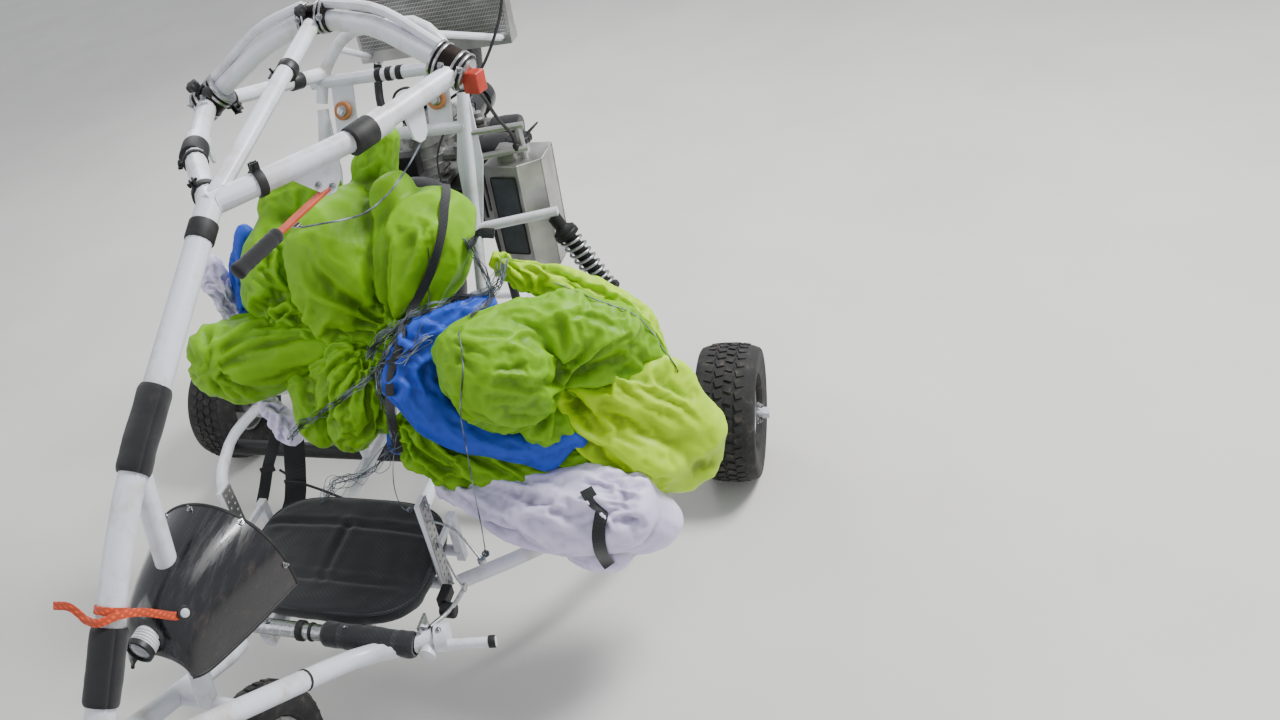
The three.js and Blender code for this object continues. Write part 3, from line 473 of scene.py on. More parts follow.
@finish
def ripstop_nylon(tree, shader, place, part):
    """Silicone-coated ripstop sailcloth: crisp creases, ridges in painted light, hollows in painted shade
    and a fine square grid.

    The real grid is 5 mm; it is drawn at 7 mm so that it shows. The attribute crease is
    1 on a ridge and -1 in a hollow: ridges are lightened as painted light and hollows are
    darkened as painted shade.
    """
    base = getattr(colours(), part)
    # Painted shade for the hollows (deep) and painted light for the ridges (lit)
    deep = tuple(c * 0.3 for c in base)
    lit = tuple(min(1.0, c * 1.35) for c in base)
    crease = add(tree, "ShaderNodeAttribute", attribute_name="crease")
    patch = add(tree, "ShaderNodeTexNoise", {"Vector": place, "Scale": per_metre(170), "Detail": 3})
    spread = add(tree, "ShaderNodeMath", {0: patch.outputs["Fac"], 1: -0.5}, operation="ADD")
    level = add(tree, "ShaderNodeMath", {0: crease.outputs["Fac"], 1: 0.34, 2: 0.5},
                operation="MULTIPLY_ADD")
    mixed = add(tree, "ShaderNodeMath", {0: spread.outputs[0], 1: 0.5, 2: level.outputs[0]},
                operation="MULTIPLY_ADD")
    # Painted light and shade: the crease attribute moves each point from the painted shade in hollows to the
    # painted light on ridges
    colour = add(
        tree, "ShaderNodeValToRGB", {"Fac": mixed.outputs[0]},
        stops=[(0.05, (*deep, 1)), (0.45, (*base, 1)), (0.9, (*lit, 1))],
    )
    grids = []
    for axis in ("X", "Y", "Z"):
        grids.append(add(tree, "ShaderNodeTexWave", {"Vector": place, "Scale": per_metre(7) / 6.28,
                                                     "Distortion": 0.6,
                                                     "Detail": 1, "Detail Scale": 0.6},
                                                     bands_direction=axis))
    first = add(tree, "ShaderNodeMath", {0: grids[0].outputs["Fac"], 1: grids[1].outputs["Fac"]},
                operation="MULTIPLY")
    grid = add(tree, "ShaderNodeMath", {0: first.outputs[0], 1: grids[2].outputs["Fac"]},
               operation="MULTIPLY")
    crinkle = add(
        tree, "ShaderNodeTexNoise",
        {"Vector": place, "Scale": per_metre(24), "Detail": 6, "Roughness": 0.6, "Distortion": 1.2},
        noise_type="RIDGED_MULTIFRACTAL",
    )
    height = add(tree, "ShaderNodeMath", {0: grid.outputs[0], 1: 0.12, 2: crinkle.outputs["Fac"]},
                 operation="MULTIPLY_ADD")
    bump = add(tree, "ShaderNodeBump", {"Height": height.outputs[0], "Strength": 0.3, "Distance": 1.6 * MM})
    put(tree, shader, {"Roughness": 0.5, "Specular IOR Level": 0.3}, colour=colour.outputs["Color"],
        normal=bump.outputs["Normal"])


@finish
def braided_line(tree, shader, place):
    """Braided aramid and polyethylene line: dull grey threads with a coloured few."""
    which = add(tree, "ShaderNodeTexNoise", {"Vector": place, "Scale": per_metre(45), "Detail": 2})
    colour = add(
        tree, "ShaderNodeValToRGB", {"Fac": which.outputs["Fac"]},
        stops=[(0.35, solid_colour("23252a")), (0.5, solid_colour("5d6570")),
               (0.62, solid_colour("8c949c"))],
    )
    braid = add(tree, "ShaderNodeTexWave", {"Vector": place, "Scale": per_metre(2) / 6.28},
                bands_direction="DIAGONAL")
    bump = add(tree, "ShaderNodeBump", {"Height": braid.outputs["Fac"], "Strength": 0.3,
                                        "Distance": 0.3 * MM})
    put(tree, shader, {"Roughness": 0.7}, colour=colour.outputs["Color"], normal=bump.outputs["Normal"])


@finish
def carbon_composite(tree, shader, place):
    """Moulded carbon blade under clear coat: a faint twill in deep black."""
    twill = add(tree, "ShaderNodeTexWave", {"Vector": place, "Scale": per_metre(5) / 6.28,
                                            "Distortion": 0.2},
                bands_direction="DIAGONAL")
    colour = add(
        tree, "ShaderNodeValToRGB", {"Fac": twill.outputs["Fac"]},
        stops=[(0.2, solid_colour("0d0d0e")), (0.8, solid_colour("232427"))],
    )
    bump = add(tree, "ShaderNodeBump", {"Height": twill.outputs["Fac"], "Strength": 0.08,
                                        "Distance": 0.2 * MM})
    put(tree, shader, {"Roughness": 0.3, "Coat Weight": 0.7, "Coat Roughness": 0.08},
        colour=colour.outputs["Color"],
        normal=bump.outputs["Normal"])


@finish
def clear_polycarbonate(tree, shader, place):
    """Clear moulded polycarbonate lens: bright and hard with faint sand haze."""
    haze = add(tree, "ShaderNodeTexNoise", {"Vector": place, "Scale": per_metre(6), "Detail": 4})
    rough = add(tree, "ShaderNodeMapRange", {"Value": haze.outputs["Fac"], "To Min": 0.04, "To Max": 0.2})
    put(tree, shader, {"Base Color": solid_colour("e8ecf2"), "IOR": 1.58, "Transmission Weight": 0.85},
        roughness=rough.outputs["Result"])


@finish
def matt_studio_floor(tree, shader, place):
    """Seamless studio floor: pale and matt with a trace of mottling."""
    mottle = add(tree, "ShaderNodeTexNoise", {"Vector": place, "Scale": per_metre(600), "Detail": 3})
    colour = add(
        tree, "ShaderNodeValToRGB", {"Fac": mottle.outputs["Fac"]},
        stops=[(0.3, solid_colour("d2d0cc")), (0.7, solid_colour("dad8d4"))],
    )
    put(tree, shader, {"Roughness": 0.9}, colour=colour.outputs["Color"])


# Colours of plain plastics and cloth
BLACK_NYLON = "161617"
PALE_NYLON = "d8d9dc"
BLACK_CLOTH = "1b1d20"
DARK_PIPING = "2a2c30"


# Mesh tools
def shade(mesh, sharp_degrees=SHARP_DEGREES):
    """Smooth shading, broken at edges sharper than the given angle."""
    work = bmesh.new()
    work.from_mesh(mesh)
    limit = math.radians(sharp_degrees)
    for face in work.faces:
        face.smooth = True
    for edge in work.edges:
        edge.smooth = edge.calc_face_angle(0.0) < limit
    work.to_mesh(mesh)
    work.free()


def shown(name, mesh, finish_made, sharp_degrees=SHARP_DEGREES):
    """Links a mesh as a new object with its finish."""
    made = bpy.data.objects.new(name, mesh)
    bpy.context.scene.collection.objects.link(made)
    mesh.materials.clear()
    mesh.materials.append(finish_made)
    if sharp_degrees:
        shade(mesh, sharp_degrees)
    return made


def from_shells(name, shells, finish_made, sharp_degrees=SHARP_DEGREES):
    """One object from (vertices, faces) shells, with its faces turned outwards."""
    mesh = bpy.data.meshes.new(name)
    verts, faces = together(shells)
    mesh.from_pydata([tuple(v) for v in verts], [], faces)
    work = bmesh.new()
    work.from_mesh(mesh)
    bmesh.ops.remove_doubles(work, verts=work.verts, dist=0.01 * MM)
    bmesh.ops.recalc_face_normals(work, faces=work.faces)
    work.to_mesh(mesh)
    work.free()
    return shown(name, mesh, finish_made, sharp_degrees)


def together(shells):
    """Joins shells into one list of vertices and one of faces."""
    verts = []
    faces = []
    for shell_verts, shell_faces in shells:
        start = len(verts)
        verts.extend(Vector(v) for v in shell_verts)
        faces.extend(tuple(i + start for i in face) for face in shell_faces)
    return verts, faces


def settle(piece, body="frame", stands_for=()):
    """Gives a finished piece its body and hides the CAD nodes that it stands for."""
    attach(piece, body)
    if stands_for:
        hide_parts(*stands_for)
    return piece


def vectors(points):
    """Points given in millimetres as vectors in metres."""
    return [Vector(p) * MM for p in points]


def point(x, y, z):
    """A point given in millimetres as a vector in metres."""
    return Vector((x, y, z)) * MM


def smooth_path(points, per_span=8):
    """A Catmull-Rom curve through the points."""
    given = [Vector(p) for p in points]
    ends = [given[0] * 2 - given[1], *given, given[-1] * 2 - given[-2]]
    path = []
    for k in range(1, len(ends) - 2):
        a, b, c, d = ends[k - 1 : k + 3]
        for j in range(per_span):
            t = j / per_span
            path.append(
                0.5 * ((2 * b) + (c - a) * t + (2 * a - 5 * b + 4 * c - d) * t * t
                       + (3 * b - a - 3 * c + d) * t**3)
            )
    path.append(given[-1])
    return path


def bent_path(points, fillet, steps=8):
    """Straight runs whose corners are rounded by the fillet, as in the CAD tubes."""
    given = [Vector(p) for p in points]
    path = [given[0]]
    for before, corner, after in zip(given, given[1:], given[2:]):
        start = corner.lerp(before, min(0.5, fillet / (corner - before).length))
        end = corner.lerp(after, min(0.5, fillet / (corner - after).length))
        for j in range(steps + 1):
            t = j / steps
            path.append(start * (1 - t) ** 2 + corner * 2 * t * (1 - t) + end * t * t)
    path.append(given[-1])
    return path


def frames_along(path, up=None):
    """A side vector and an up vector at each point, carried along without twist."""
    tangents = []
    for k in range(len(path)):
        a = path[max(0, k - 1)]
        b = path[min(len(path) - 1, k + 1)]
        tangents.append((b - a).normalized())
    if up is None:
        up = Z_AXIS if abs(tangents[0].z) < 0.9 else X_AXIS
    side = tangents[0].cross(up).normalized()
    result = []
    for t in tangents:
        side = (side - t * side.dot(t)).normalized()
        result.append((side, side.cross(t).normalized()))
    return result


def side_faces(count, around, loop=False):
    """Faces between the rings of a skin; loop joins the last ring to the first."""
    faces = []
    for k in range(count if loop else count - 1):
        m = (k + 1) % count
        for j in range(around):
            n = (j + 1) % around
            faces.append((k * around + j, k * around + n, m * around + n, m * around + j))
    return faces


def closed_faces(count, around):
    """Faces between the rings of a skin, and one at each end."""
    ends = [tuple(range(around)), tuple(range((count - 1) * around, count * around))]
    return side_faces(count, around) + ends


def tube(path, radius, sides=16, rounded=0.0, squash=1.0, up=None):
    """A closed tube along a path; radius is a number or one for each point."""
    count = len(path)
    radii = [radius] * count if isinstance(radius, (int, float)) else list(radius)
    verts = []
    faces = side_faces(count, sides)
    for centre, r, (side, lift) in zip(path, radii, frames_along(path, up)):
        for j in range(sides):
            a = 2 * math.pi * j / sides
            verts.append(centre + side * (r * math.cos(a)) + lift * (r * squash * math.sin(a)))
    first = len(verts)
    run = (path[1] - path[0]).normalized()
    verts.append(path[0] - run * (radii[0] * rounded))
    run = (path[-1] - path[-2]).normalized()
    verts.append(path[-1] + run * (radii[-1] * rounded))
    for j in range(sides):
        n = (j + 1) % sides
        faces.append((first, n, j))
        faces.append((first + 1, (count - 1) * sides + j, (count - 1) * sides + n))
    return verts, faces


def ribbon(path, width, thick, ups):
    """A flat strap along a path; ups gives the way its flat side faces at each point."""
    verts = []
    outline = [(-0.5, 0.3), (-0.44, 0.5), (0.44, 0.5), (0.5, 0.3), (0.5, -0.3), (0.44, -0.5),
               (-0.44, -0.5), (-0.5, -0.3)]
    for k, centre in enumerate(path):
        run = (path[min(k + 1, len(path) - 1)] - path[max(k - 1, 0)]).normalized()
        lift = (Vector(ups[k]) - run * Vector(ups[k]).dot(run)).normalized()
        side = run.cross(lift).normalized()
        wide = width[k] if hasattr(width, "__len__") else width
        for u, v in outline:
            verts.append(centre + side * (u * wide) + lift * (v * thick))
    return verts, closed_faces(len(path), len(outline))


def lathe(rows, start, direction, sides=32, loop=False):
    """A turned body from (radius, distance along the axis) in millimetres; loop closes it into a ring."""
    axis = Vector(direction).normalized()
    side = axis.orthogonal().normalized()
    lift = axis.cross(side)
    verts = []
    for r, d in rows:
        r = max(r * MM, 1e-5)
        d = d * MM
        for j in range(sides):
            a = 2 * math.pi * j / sides
            verts.append(Vector(start) + axis * d + side * (r * math.cos(a)) + lift * (r * math.sin(a)))
    if loop:
        return verts, side_faces(len(rows), sides, loop=True)
    return verts, closed_faces(len(rows), sides)


def brick(lengths, centre, axes=None):
    """A box from its three side lengths in millimetres, its centre and its own axes."""
    x, y, z = axes if axes else (X_AXIS, Y_AXIS, Z_AXIS)
    half = [d * MM / 2 for d in lengths]
    corners = [(a, b, c) for a in (-1, 1) for b in (-1, 1) for c in (-1, 1)]
    verts = [Vector(centre) + x * (a * half[0]) + y * (b * half[1]) + z * (c * half[2]) for a, b,
             c in corners]
    faces = [(0, 1, 3, 2), (4, 6, 7, 5), (0, 4, 5, 1), (2, 3, 7, 6), (0, 2, 6, 4), (1, 5, 7, 3)]
    return verts, faces


def flat_plate(outline, thick, origin, across, along):
    """A plate from an outline in its own two directions."""
    u = Vector(across).normalized()
    n = u.cross(Vector(along)).normalized()
    v = n.cross(u)
    verts = []
    for side in (-0.5, 0.5):
        verts.extend(Vector(origin) + u * a + v * b + n * (thick * side) for a, b in outline)
    count = len(outline)
    faces = [tuple(range(count)), tuple(range(2 * count - 1, count - 1, -1))]
    faces.extend((k, (k + 1) % count, count + (k + 1) % count, count + k) for k in range(count))
    return verts, faces


def rounded_edges(piece, radius=None, segments=2, angle=SHARP_DEGREES):
    """A live bevel on the sharper edges."""
    bevel = piece.modifiers.new("edge", "BEVEL")
    bevel.width = sizes().edge if radius is None else radius
    bevel.segments = segments
    bevel.limit_method = "ANGLE"
    bevel.angle_limit = math.radians(angle)
    bevel.harden_normals = True
    return piece


def dressed(node, finish_made, radius=None, angle=SHARP_DEGREES):
    """A copy of a CAD node with merged faces and rounded edges, which stands for the node."""
    source = FRAME["nodes"][node]
    mesh = source.data.copy()
    mesh.name = "dressed_" + node
    work = bmesh.new()
    work.from_mesh(mesh)
    bmesh.ops.remove_doubles(work, verts=work.verts, dist=0.02 * MM)
    bmesh.ops.dissolve_limit(work, angle_limit=math.radians(1.0), verts=work.verts, edges=work.edges)
    work.to_mesh(mesh)
    work.free()
    for name in [a.name for a in mesh.attributes if a.name == "custom_normal"]:
        mesh.attributes.remove(mesh.attributes[name])
    piece = shown(node + "_finished", mesh, finish_made, angle)
    rounded_edges(piece, radius, angle=angle)
    return settle(piece, source["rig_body"], (node,))


# Geometry node trees
def open_tree(name, inputs):
    """A geometry tree with a geometry input, named size inputs and a material input."""
    tree = bpy.data.node_groups.new(name, "GeometryNodeTree")
    tree.interface.new_socket("Geometry", in_out="INPUT", socket_type="NodeSocketGeometry")
    for label, kind, default in inputs:
        socket = tree.interface.new_socket(label, in_out="INPUT", socket_type=kind)
        socket.default_value = default
    tree.interface.new_socket("Finish", in_out="INPUT", socket_type="NodeSocketMaterial")
    tree.interface.new_socket("Geometry", in_out="OUTPUT", socket_type="NodeSocketGeometry")
    return tree, add(tree, "NodeGroupInput").outputs


def close_tree(tree, given, geometry, smooth=True):
    """Ends a tree: realised, shaded and with its finish set."""
    real = add(tree, "GeometryNodeRealizeInstances", {"Geometry": geometry})
    soft = add(tree, "GeometryNodeSetShadeSmooth", {"Geometry": real.outputs["Geometry"],
                                                    "Shade Smooth": smooth})
    set_finish = add(
        tree, "GeometryNodeSetMaterial", {"Geometry": soft.outputs["Geometry"], "Material": given["Finish"]}
    )
    add(tree, "NodeGroupOutput", {"Geometry": set_finish.outputs["Geometry"]})
    return tree


FLOAT = "NodeSocketFloat"
WHOLE = "NodeSocketInt"
THREE = "NodeSocketVector"


def bolt_tree():
    """Hex heads on washers, one on each point, along the point's attribute out."""
    tree, given = open_tree(
        "bolts", [("Across flats", FLOAT, 0.013), ("Head height", FLOAT, 0.006), ("Washer", FLOAT, 0.02)]
    )
    corner = add(tree, "ShaderNodeMath", {0: given["Across flats"], 1: 0.577}, operation="MULTIPLY")
    middle = add(tree, "ShaderNodeMath", {0: given["Head height"], 1: 0.5, 2: 0.0016},
                 operation="MULTIPLY_ADD")
    head = add(tree, "GeometryNodeMeshCylinder", {"Vertices": 6, "Radius": corner.outputs[0],
                                                  "Depth": given["Head height"]})
    lift = add(tree, "ShaderNodeCombineXYZ", {"Z": middle.outputs[0]})
    raised = add(tree, "GeometryNodeTransform", {"Geometry": head.outputs["Mesh"],
                                                 "Translation": lift.outputs[0]})
    half = add(tree, "ShaderNodeMath", {0: given["Washer"], 1: 0.5}, operation="MULTIPLY")
    washer = add(tree, "GeometryNodeMeshCylinder", {"Vertices": 18, "Radius": half.outputs[0],
                                                    "Depth": 0.003})
    shank = add(tree, "ShaderNodeMath", {0: given["Across flats"], 1: 0.28}, operation="MULTIPLY")
    end = add(tree, "GeometryNodeMeshCylinder", {"Vertices": 10, "Radius": shank.outputs[0],
                                                 "Depth": 0.006})
    tip_lift = add(tree, "ShaderNodeMath", {0: middle.outputs[0], 1: 2.0, 2: 0.0005},
                   operation="MULTIPLY_ADD")
    tip_place = add(tree, "ShaderNodeCombineXYZ", {"Z": tip_lift.outputs[0]})
    tip = add(tree, "GeometryNodeTransform", {"Geometry": end.outputs["Mesh"],
                                              "Translation": tip_place.outputs[0]})
    item = add(tree, "GeometryNodeJoinGeometry")
    for part in (raised, washer, tip):
        tree.links.new(part.outputs[0], item.inputs[0])
    out = add(tree, "GeometryNodeInputNamedAttribute", {"Name": "out"}, data_type="FLOAT_VECTOR")
    turn = add(tree, "FunctionNodeAlignRotationToVector", {"Vector": out.outputs["Attribute"]}, axis="Z")
    placed = add(
        tree, "GeometryNodeInstanceOnPoints",
        {"Points": given["Geometry"], "Instance": item.outputs[0], "Rotation": turn.outputs["Rotation"]},
    )
    return close_tree(tree, given, placed.outputs["Instances"], smooth=False)


def row_tree():
    """Small beads in a row along a path, for weld ripples."""
    tree, given = open_tree("row", [("Spacing", FLOAT, 0.003), ("Bead", THREE, (0.0045, 0.006, 0.002))])
    line = add(tree, "GeometryNodeMeshToCurve", {"Mesh": given["Geometry"]})
    points = add(tree, "GeometryNodeCurveToPoints",
                 {"Curve": line.outputs["Curve"], "Length": given["Spacing"]}, mode="LENGTH")
    out = add(tree, "GeometryNodeInputNamedAttribute", {"Name": "out"}, data_type="FLOAT_VECTOR")
    turn = add(tree, "FunctionNodeAlignRotationToVector", {"Vector": points.outputs["Tangent"]}, axis="X")
    level = add(
        tree, "FunctionNodeAlignRotationToVector", {"Rotation": turn.outputs["Rotation"],
                                                    "Vector": out.outputs["Attribute"]},
        axis="Z", pivot_axis="X",
    )
    bead = add(tree, "GeometryNodeMeshUVSphere", {"Segments": 8, "Rings": 4, "Radius": 0.5})
    placed = add(
        tree, "GeometryNodeInstanceOnPoints",
        {"Points": points.outputs["Points"], "Instance": bead.outputs["Mesh"],
         "Rotation": level.outputs["Rotation"],
         "Scale": given["Bead"]},
    )
    return close_tree(tree, given, placed.outputs["Instances"])


def coil_tree():
    """A round wire wound into a helix up the Z axis."""
    tree, given = open_tree(
        "coil", [("Turns", FLOAT, 8.0), ("Radius", FLOAT, 0.028), ("Height", FLOAT, 0.2),
                 ("Wire", FLOAT, 0.007)]
    )
    helix = add(
        tree, "GeometryNodeCurveSpiral",
        {"Resolution": 24, "Rotations": given["Turns"], "Start Radius": given["Radius"],
         "End Radius": given["Radius"],
         "Height": given["Height"]},
    )
    half = add(tree, "ShaderNodeMath", {0: given["Wire"], 1: 0.5}, operation="MULTIPLY")
    wire = add(tree, "GeometryNodeCurvePrimitiveCircle", {"Resolution": 10, "Radius": half.outputs[0]})
    swept = add(
        tree, "GeometryNodeCurveToMesh",
        {"Curve": helix.outputs["Curve"], "Profile Curve": wire.outputs["Curve"], "Fill Caps": True},
    )
    return close_tree(tree, given, swept.outputs["Mesh"])


def lug_tree():
    """Blocks round a wheel on the X axis: one ring of tread, turned by a skew."""
    tree, given = open_tree(
        "lugs",
        [("Count", WHOLE, 36), ("Radius", FLOAT, 0.2), ("Across", FLOAT, 0.0),
         ("Block", THREE, (0.03, 0.02, 0.006)),
         ("Lean", FLOAT, 0.0), ("Skew", FLOAT, 0.0), ("Start", FLOAT, 0.0)],
    )
    points = add(tree, "GeometryNodePoints", {"Count": given["Count"]})
    index = add(tree, "GeometryNodeInputIndex")
    share = add(tree, "ShaderNodeMath", {0: index.outputs[0], 1: given["Count"]}, operation="DIVIDE")
    angle = add(tree, "ShaderNodeMath", {0: share.outputs[0], 1: 2 * math.pi, 2: given["Start"]},
                operation="MULTIPLY_ADD")
    sine = add(tree, "ShaderNodeMath", {0: angle.outputs[0]}, operation="SINE")
    cosine = add(tree, "ShaderNodeMath", {0: angle.outputs[0]}, operation="COSINE")
    back = add(tree, "ShaderNodeMath", {0: sine.outputs[0], 1: given["Radius"]}, operation="MULTIPLY")
    drop = add(tree, "ShaderNodeMath", {0: back.outputs[0], 1: -1.0}, operation="MULTIPLY")
    rise = add(tree, "ShaderNodeMath", {0: cosine.outputs[0], 1: given["Radius"]}, operation="MULTIPLY")
    place = add(tree, "ShaderNodeCombineXYZ", {"X": given["Across"], "Y": drop.outputs[0],
                                               "Z": rise.outputs[0]})
    set_place = add(tree, "GeometryNodeSetPosition",
                    {"Geometry": points.outputs[0], "Position": place.outputs[0]})
    lean = add(tree, "ShaderNodeCombineXYZ", {"Y": given["Lean"], "Z": given["Skew"]})
    block = add(tree, "GeometryNodeMeshCube", {"Size": given["Block"]})
    leaning = add(tree, "GeometryNodeTransform", {"Geometry": block.outputs["Mesh"],
                                                  "Rotation": lean.outputs[0]})
    turn = add(tree, "ShaderNodeCombineXYZ", {"X": angle.outputs[0]})
    placed = add(
        tree, "GeometryNodeInstanceOnPoints",
        {"Points": set_place.outputs["Geometry"], "Instance": leaning.outputs["Geometry"],
         "Rotation": turn.outputs[0]},
    )
    return close_tree(tree, given, placed.outputs["Instances"], smooth=False)


def slat_tree():
    """Thin bars in a line, for cooling fins."""
    tree, given = open_tree("slats", [("Count", WHOLE, 60), ("Step", THREE, (0.006, 0, 0)),
                                      ("Slat", THREE, (0.001, 0.04, 0.2))])
    line = add(tree, "GeometryNodeMeshLine", {"Count": given["Count"], "Offset": given["Step"]})
    slat = add(tree, "GeometryNodeMeshCube", {"Size": given["Slat"]})
    placed = add(tree, "GeometryNodeInstanceOnPoints",
                 {"Points": line.outputs["Mesh"], "Instance": slat.outputs["Mesh"]})
    return close_tree(tree, given, placed.outputs["Instances"], smooth=False)


def skein_tree():
    """A bundle of thin lines that wander about one path, with a fixed seed."""
    tree, given = open_tree(
        "skein", [("Lines", WHOLE, 10), ("Spread", FLOAT, 0.02), ("Thickness", FLOAT, 0.0018),
                  ("Seed", FLOAT, 1.0)]
    )
    line = add(tree, "GeometryNodeMeshToCurve", {"Mesh": given["Geometry"]})
    copies = add(tree, "GeometryNodeDuplicateElements",
                 {"Geometry": line.outputs["Curve"], "Amount": given["Lines"]},
                 domain="SPLINE")
    place = add(tree, "GeometryNodeInputPosition")
    far = add(tree, "ShaderNodeMath", {0: copies.outputs["Duplicate Index"], 1: 3.7, 2: given["Seed"]},
              operation="MULTIPLY_ADD")
    wander = add(
        tree, "ShaderNodeTexNoise", {"Vector": place.outputs[0], "W": far.outputs[0], "Scale": 11.0,
                                     "Detail": 1.0},
        noise_dimensions="4D",
    )
    centred = add(tree, "ShaderNodeVectorMath", {0: wander.outputs["Color"], 1: (-0.5, -0.5, -0.5)},
                  operation="ADD")
    double = add(tree, "ShaderNodeMath", {0: given["Spread"], 1: 2.4}, operation="MULTIPLY")
    offset = add(tree, "ShaderNodeVectorMath", {0: centred.outputs[0], "Scale": double.outputs[0]},
                 operation="SCALE")
    moved = add(tree, "GeometryNodeSetPosition", {"Geometry": copies.outputs["Geometry"],
                                                  "Offset": offset.outputs[0]})
    half = add(tree, "ShaderNodeMath", {0: given["Thickness"], 1: 0.5}, operation="MULTIPLY")
    round_line = add(tree, "GeometryNodeCurvePrimitiveCircle", {"Resolution": 5, "Radius": half.outputs[0]})
    swept = add(
        tree, "GeometryNodeCurveToMesh",
        {"Curve": moved.outputs["Geometry"], "Profile Curve": round_line.outputs["Curve"],
         "Fill Caps": True},
    )
    return close_tree(tree, given, swept.outputs["Mesh"])


def perforated_tree():
    """A plate in its own XY plane with a grid of round holes cut through it."""
    tree, given = open_tree(
        "perforated",
        [("Plate", THREE, (0.04, 0.15, 0.003)), ("Columns", WHOLE, 2), ("Rows", WHOLE, 8),
         ("Field", THREE, (0.02, 0.12, 0)),
         ("Hole", FLOAT, 0.008)],
    )
    plate = add(tree, "GeometryNodeMeshCube", {"Size": given["Plate"]})
    field = add(tree, "ShaderNodeSeparateXYZ", {"Vector": given["Field"]})
    grid = add(
        tree, "GeometryNodeMeshGrid",
        {"Size X": field.outputs[0], "Size Y": field.outputs[1], "Vertices X": given["Columns"],
         "Vertices Y": given["Rows"]},
    )
    half = add(tree, "ShaderNodeMath", {0: given["Hole"], 1: 0.5}, operation="MULTIPLY")
    drill = add(tree, "GeometryNodeMeshCylinder", {"Vertices": 12, "Radius": half.outputs[0],
                                                   "Depth": 0.05})
    drills = add(tree, "GeometryNodeInstanceOnPoints",
                 {"Points": grid.outputs["Mesh"], "Instance": drill.outputs["Mesh"]})
    cut = add(tree, "GeometryNodeMeshBoolean", operation="DIFFERENCE", solver="EXACT")
    tree.links.new(plate.outputs["Mesh"], cut.inputs[0])
    tree.links.new(drills.outputs["Instances"], cut.inputs[1])
    return close_tree(tree, given, cut.outputs["Mesh"], smooth=False)


TREES = {}


def grown(name, build_tree, finish_made, values=None, points=(), edges=(), outs=(), place=None,
          sharp_degrees=SHARP_DEGREES):
    """Runs a node tree on points or a path and returns the result as a plain mesh piece."""
    if build_tree not in TREES:
        TREES[build_tree] = build_tree()
    tree = TREES[build_tree]
    base = bpy.data.meshes.new(name + "_base")
    base.from_pydata([tuple(p) for p in points] or [(0, 0, 0)], [tuple(e) for e in edges], [])
    if outs:
        attribute = base.attributes.new("out", "FLOAT_VECTOR", "POINT")
        attribute.data.foreach_set("vector", [c for v in outs for c in v])
    holder = bpy.data.objects.new(name + "_holder", base)
    bpy.context.scene.collection.objects.link(holder)
    modifier = holder.modifiers.new("nodes", "NODES")
    modifier.node_group = tree
    values = dict(values or {}, Finish=finish_made)
    for item in tree.interface.items_tree:
        if item.in_out == "INPUT" and item.name in values:
            modifier[item.identifier] = values[item.name]
    depsgraph = bpy.context.evaluated_depsgraph_get()
    mesh = bpy.data.meshes.new_from_object(holder.evaluated_get(depsgraph), depsgraph=depsgraph)
    mesh.name = name
    bpy.data.objects.remove(holder)
    bpy.data.meshes.remove(base)
    if not mesh.vertices:
        raise RuntimeError(f"{name} came out empty")
    if place is not None:
        mesh.transform(place)
    for attribute_name in [a.name for a in mesh.attributes if a.name == "out"]:
        mesh.attributes.remove(mesh.attributes[attribute_name])
    return shown(name, mesh, finish_made, sharp_degrees)


def bolts(name, rows, finish_made, flats=13, head=6, washer=20):
    """Bolts at (point in mm, direction) rows."""
    points = vectors([p for p, _ in rows])
    outs = [Vector(d).normalized() for _, d in rows]
    values = {"Across flats": flats * MM, "Head height": head * MM, "Washer": washer * MM}
    piece = grown(name, bolt_tree, finish_made, values, points, outs=outs)
    return rounded_edges(piece, 0.5 * MM, 1)


def row(name, paths, finish_made, spacing, bead):
    """Beads along several closed or open paths of (points, outs)."""
    points = []
    edges = []
    outs = []
    for path, path_outs in paths:
        start = len(points)
        points.extend(path)
        outs.extend(path_outs)
        edges.extend((start + k, start + k + 1) for k in range(len(path) - 1))
    return grown(name, row_tree, finish_made, {"Spacing": spacing, "Bead": bead}, points, edges, outs,
                 sharp_degrees=None)


def ring(centre, axis, radius, count=40):
    """Points and outward directions of a closed ring."""
    side = Vector(axis).orthogonal().normalized()
    lift = Vector(axis).normalized().cross(side)
    path = []
    outs = []
    for k in range(count + 1):
        a = 2 * math.pi * k / count
        out = side * math.cos(a) + lift * math.sin(a)
        path.append(Vector(centre) + out * radius)
        outs.append(out)
    return path, outs


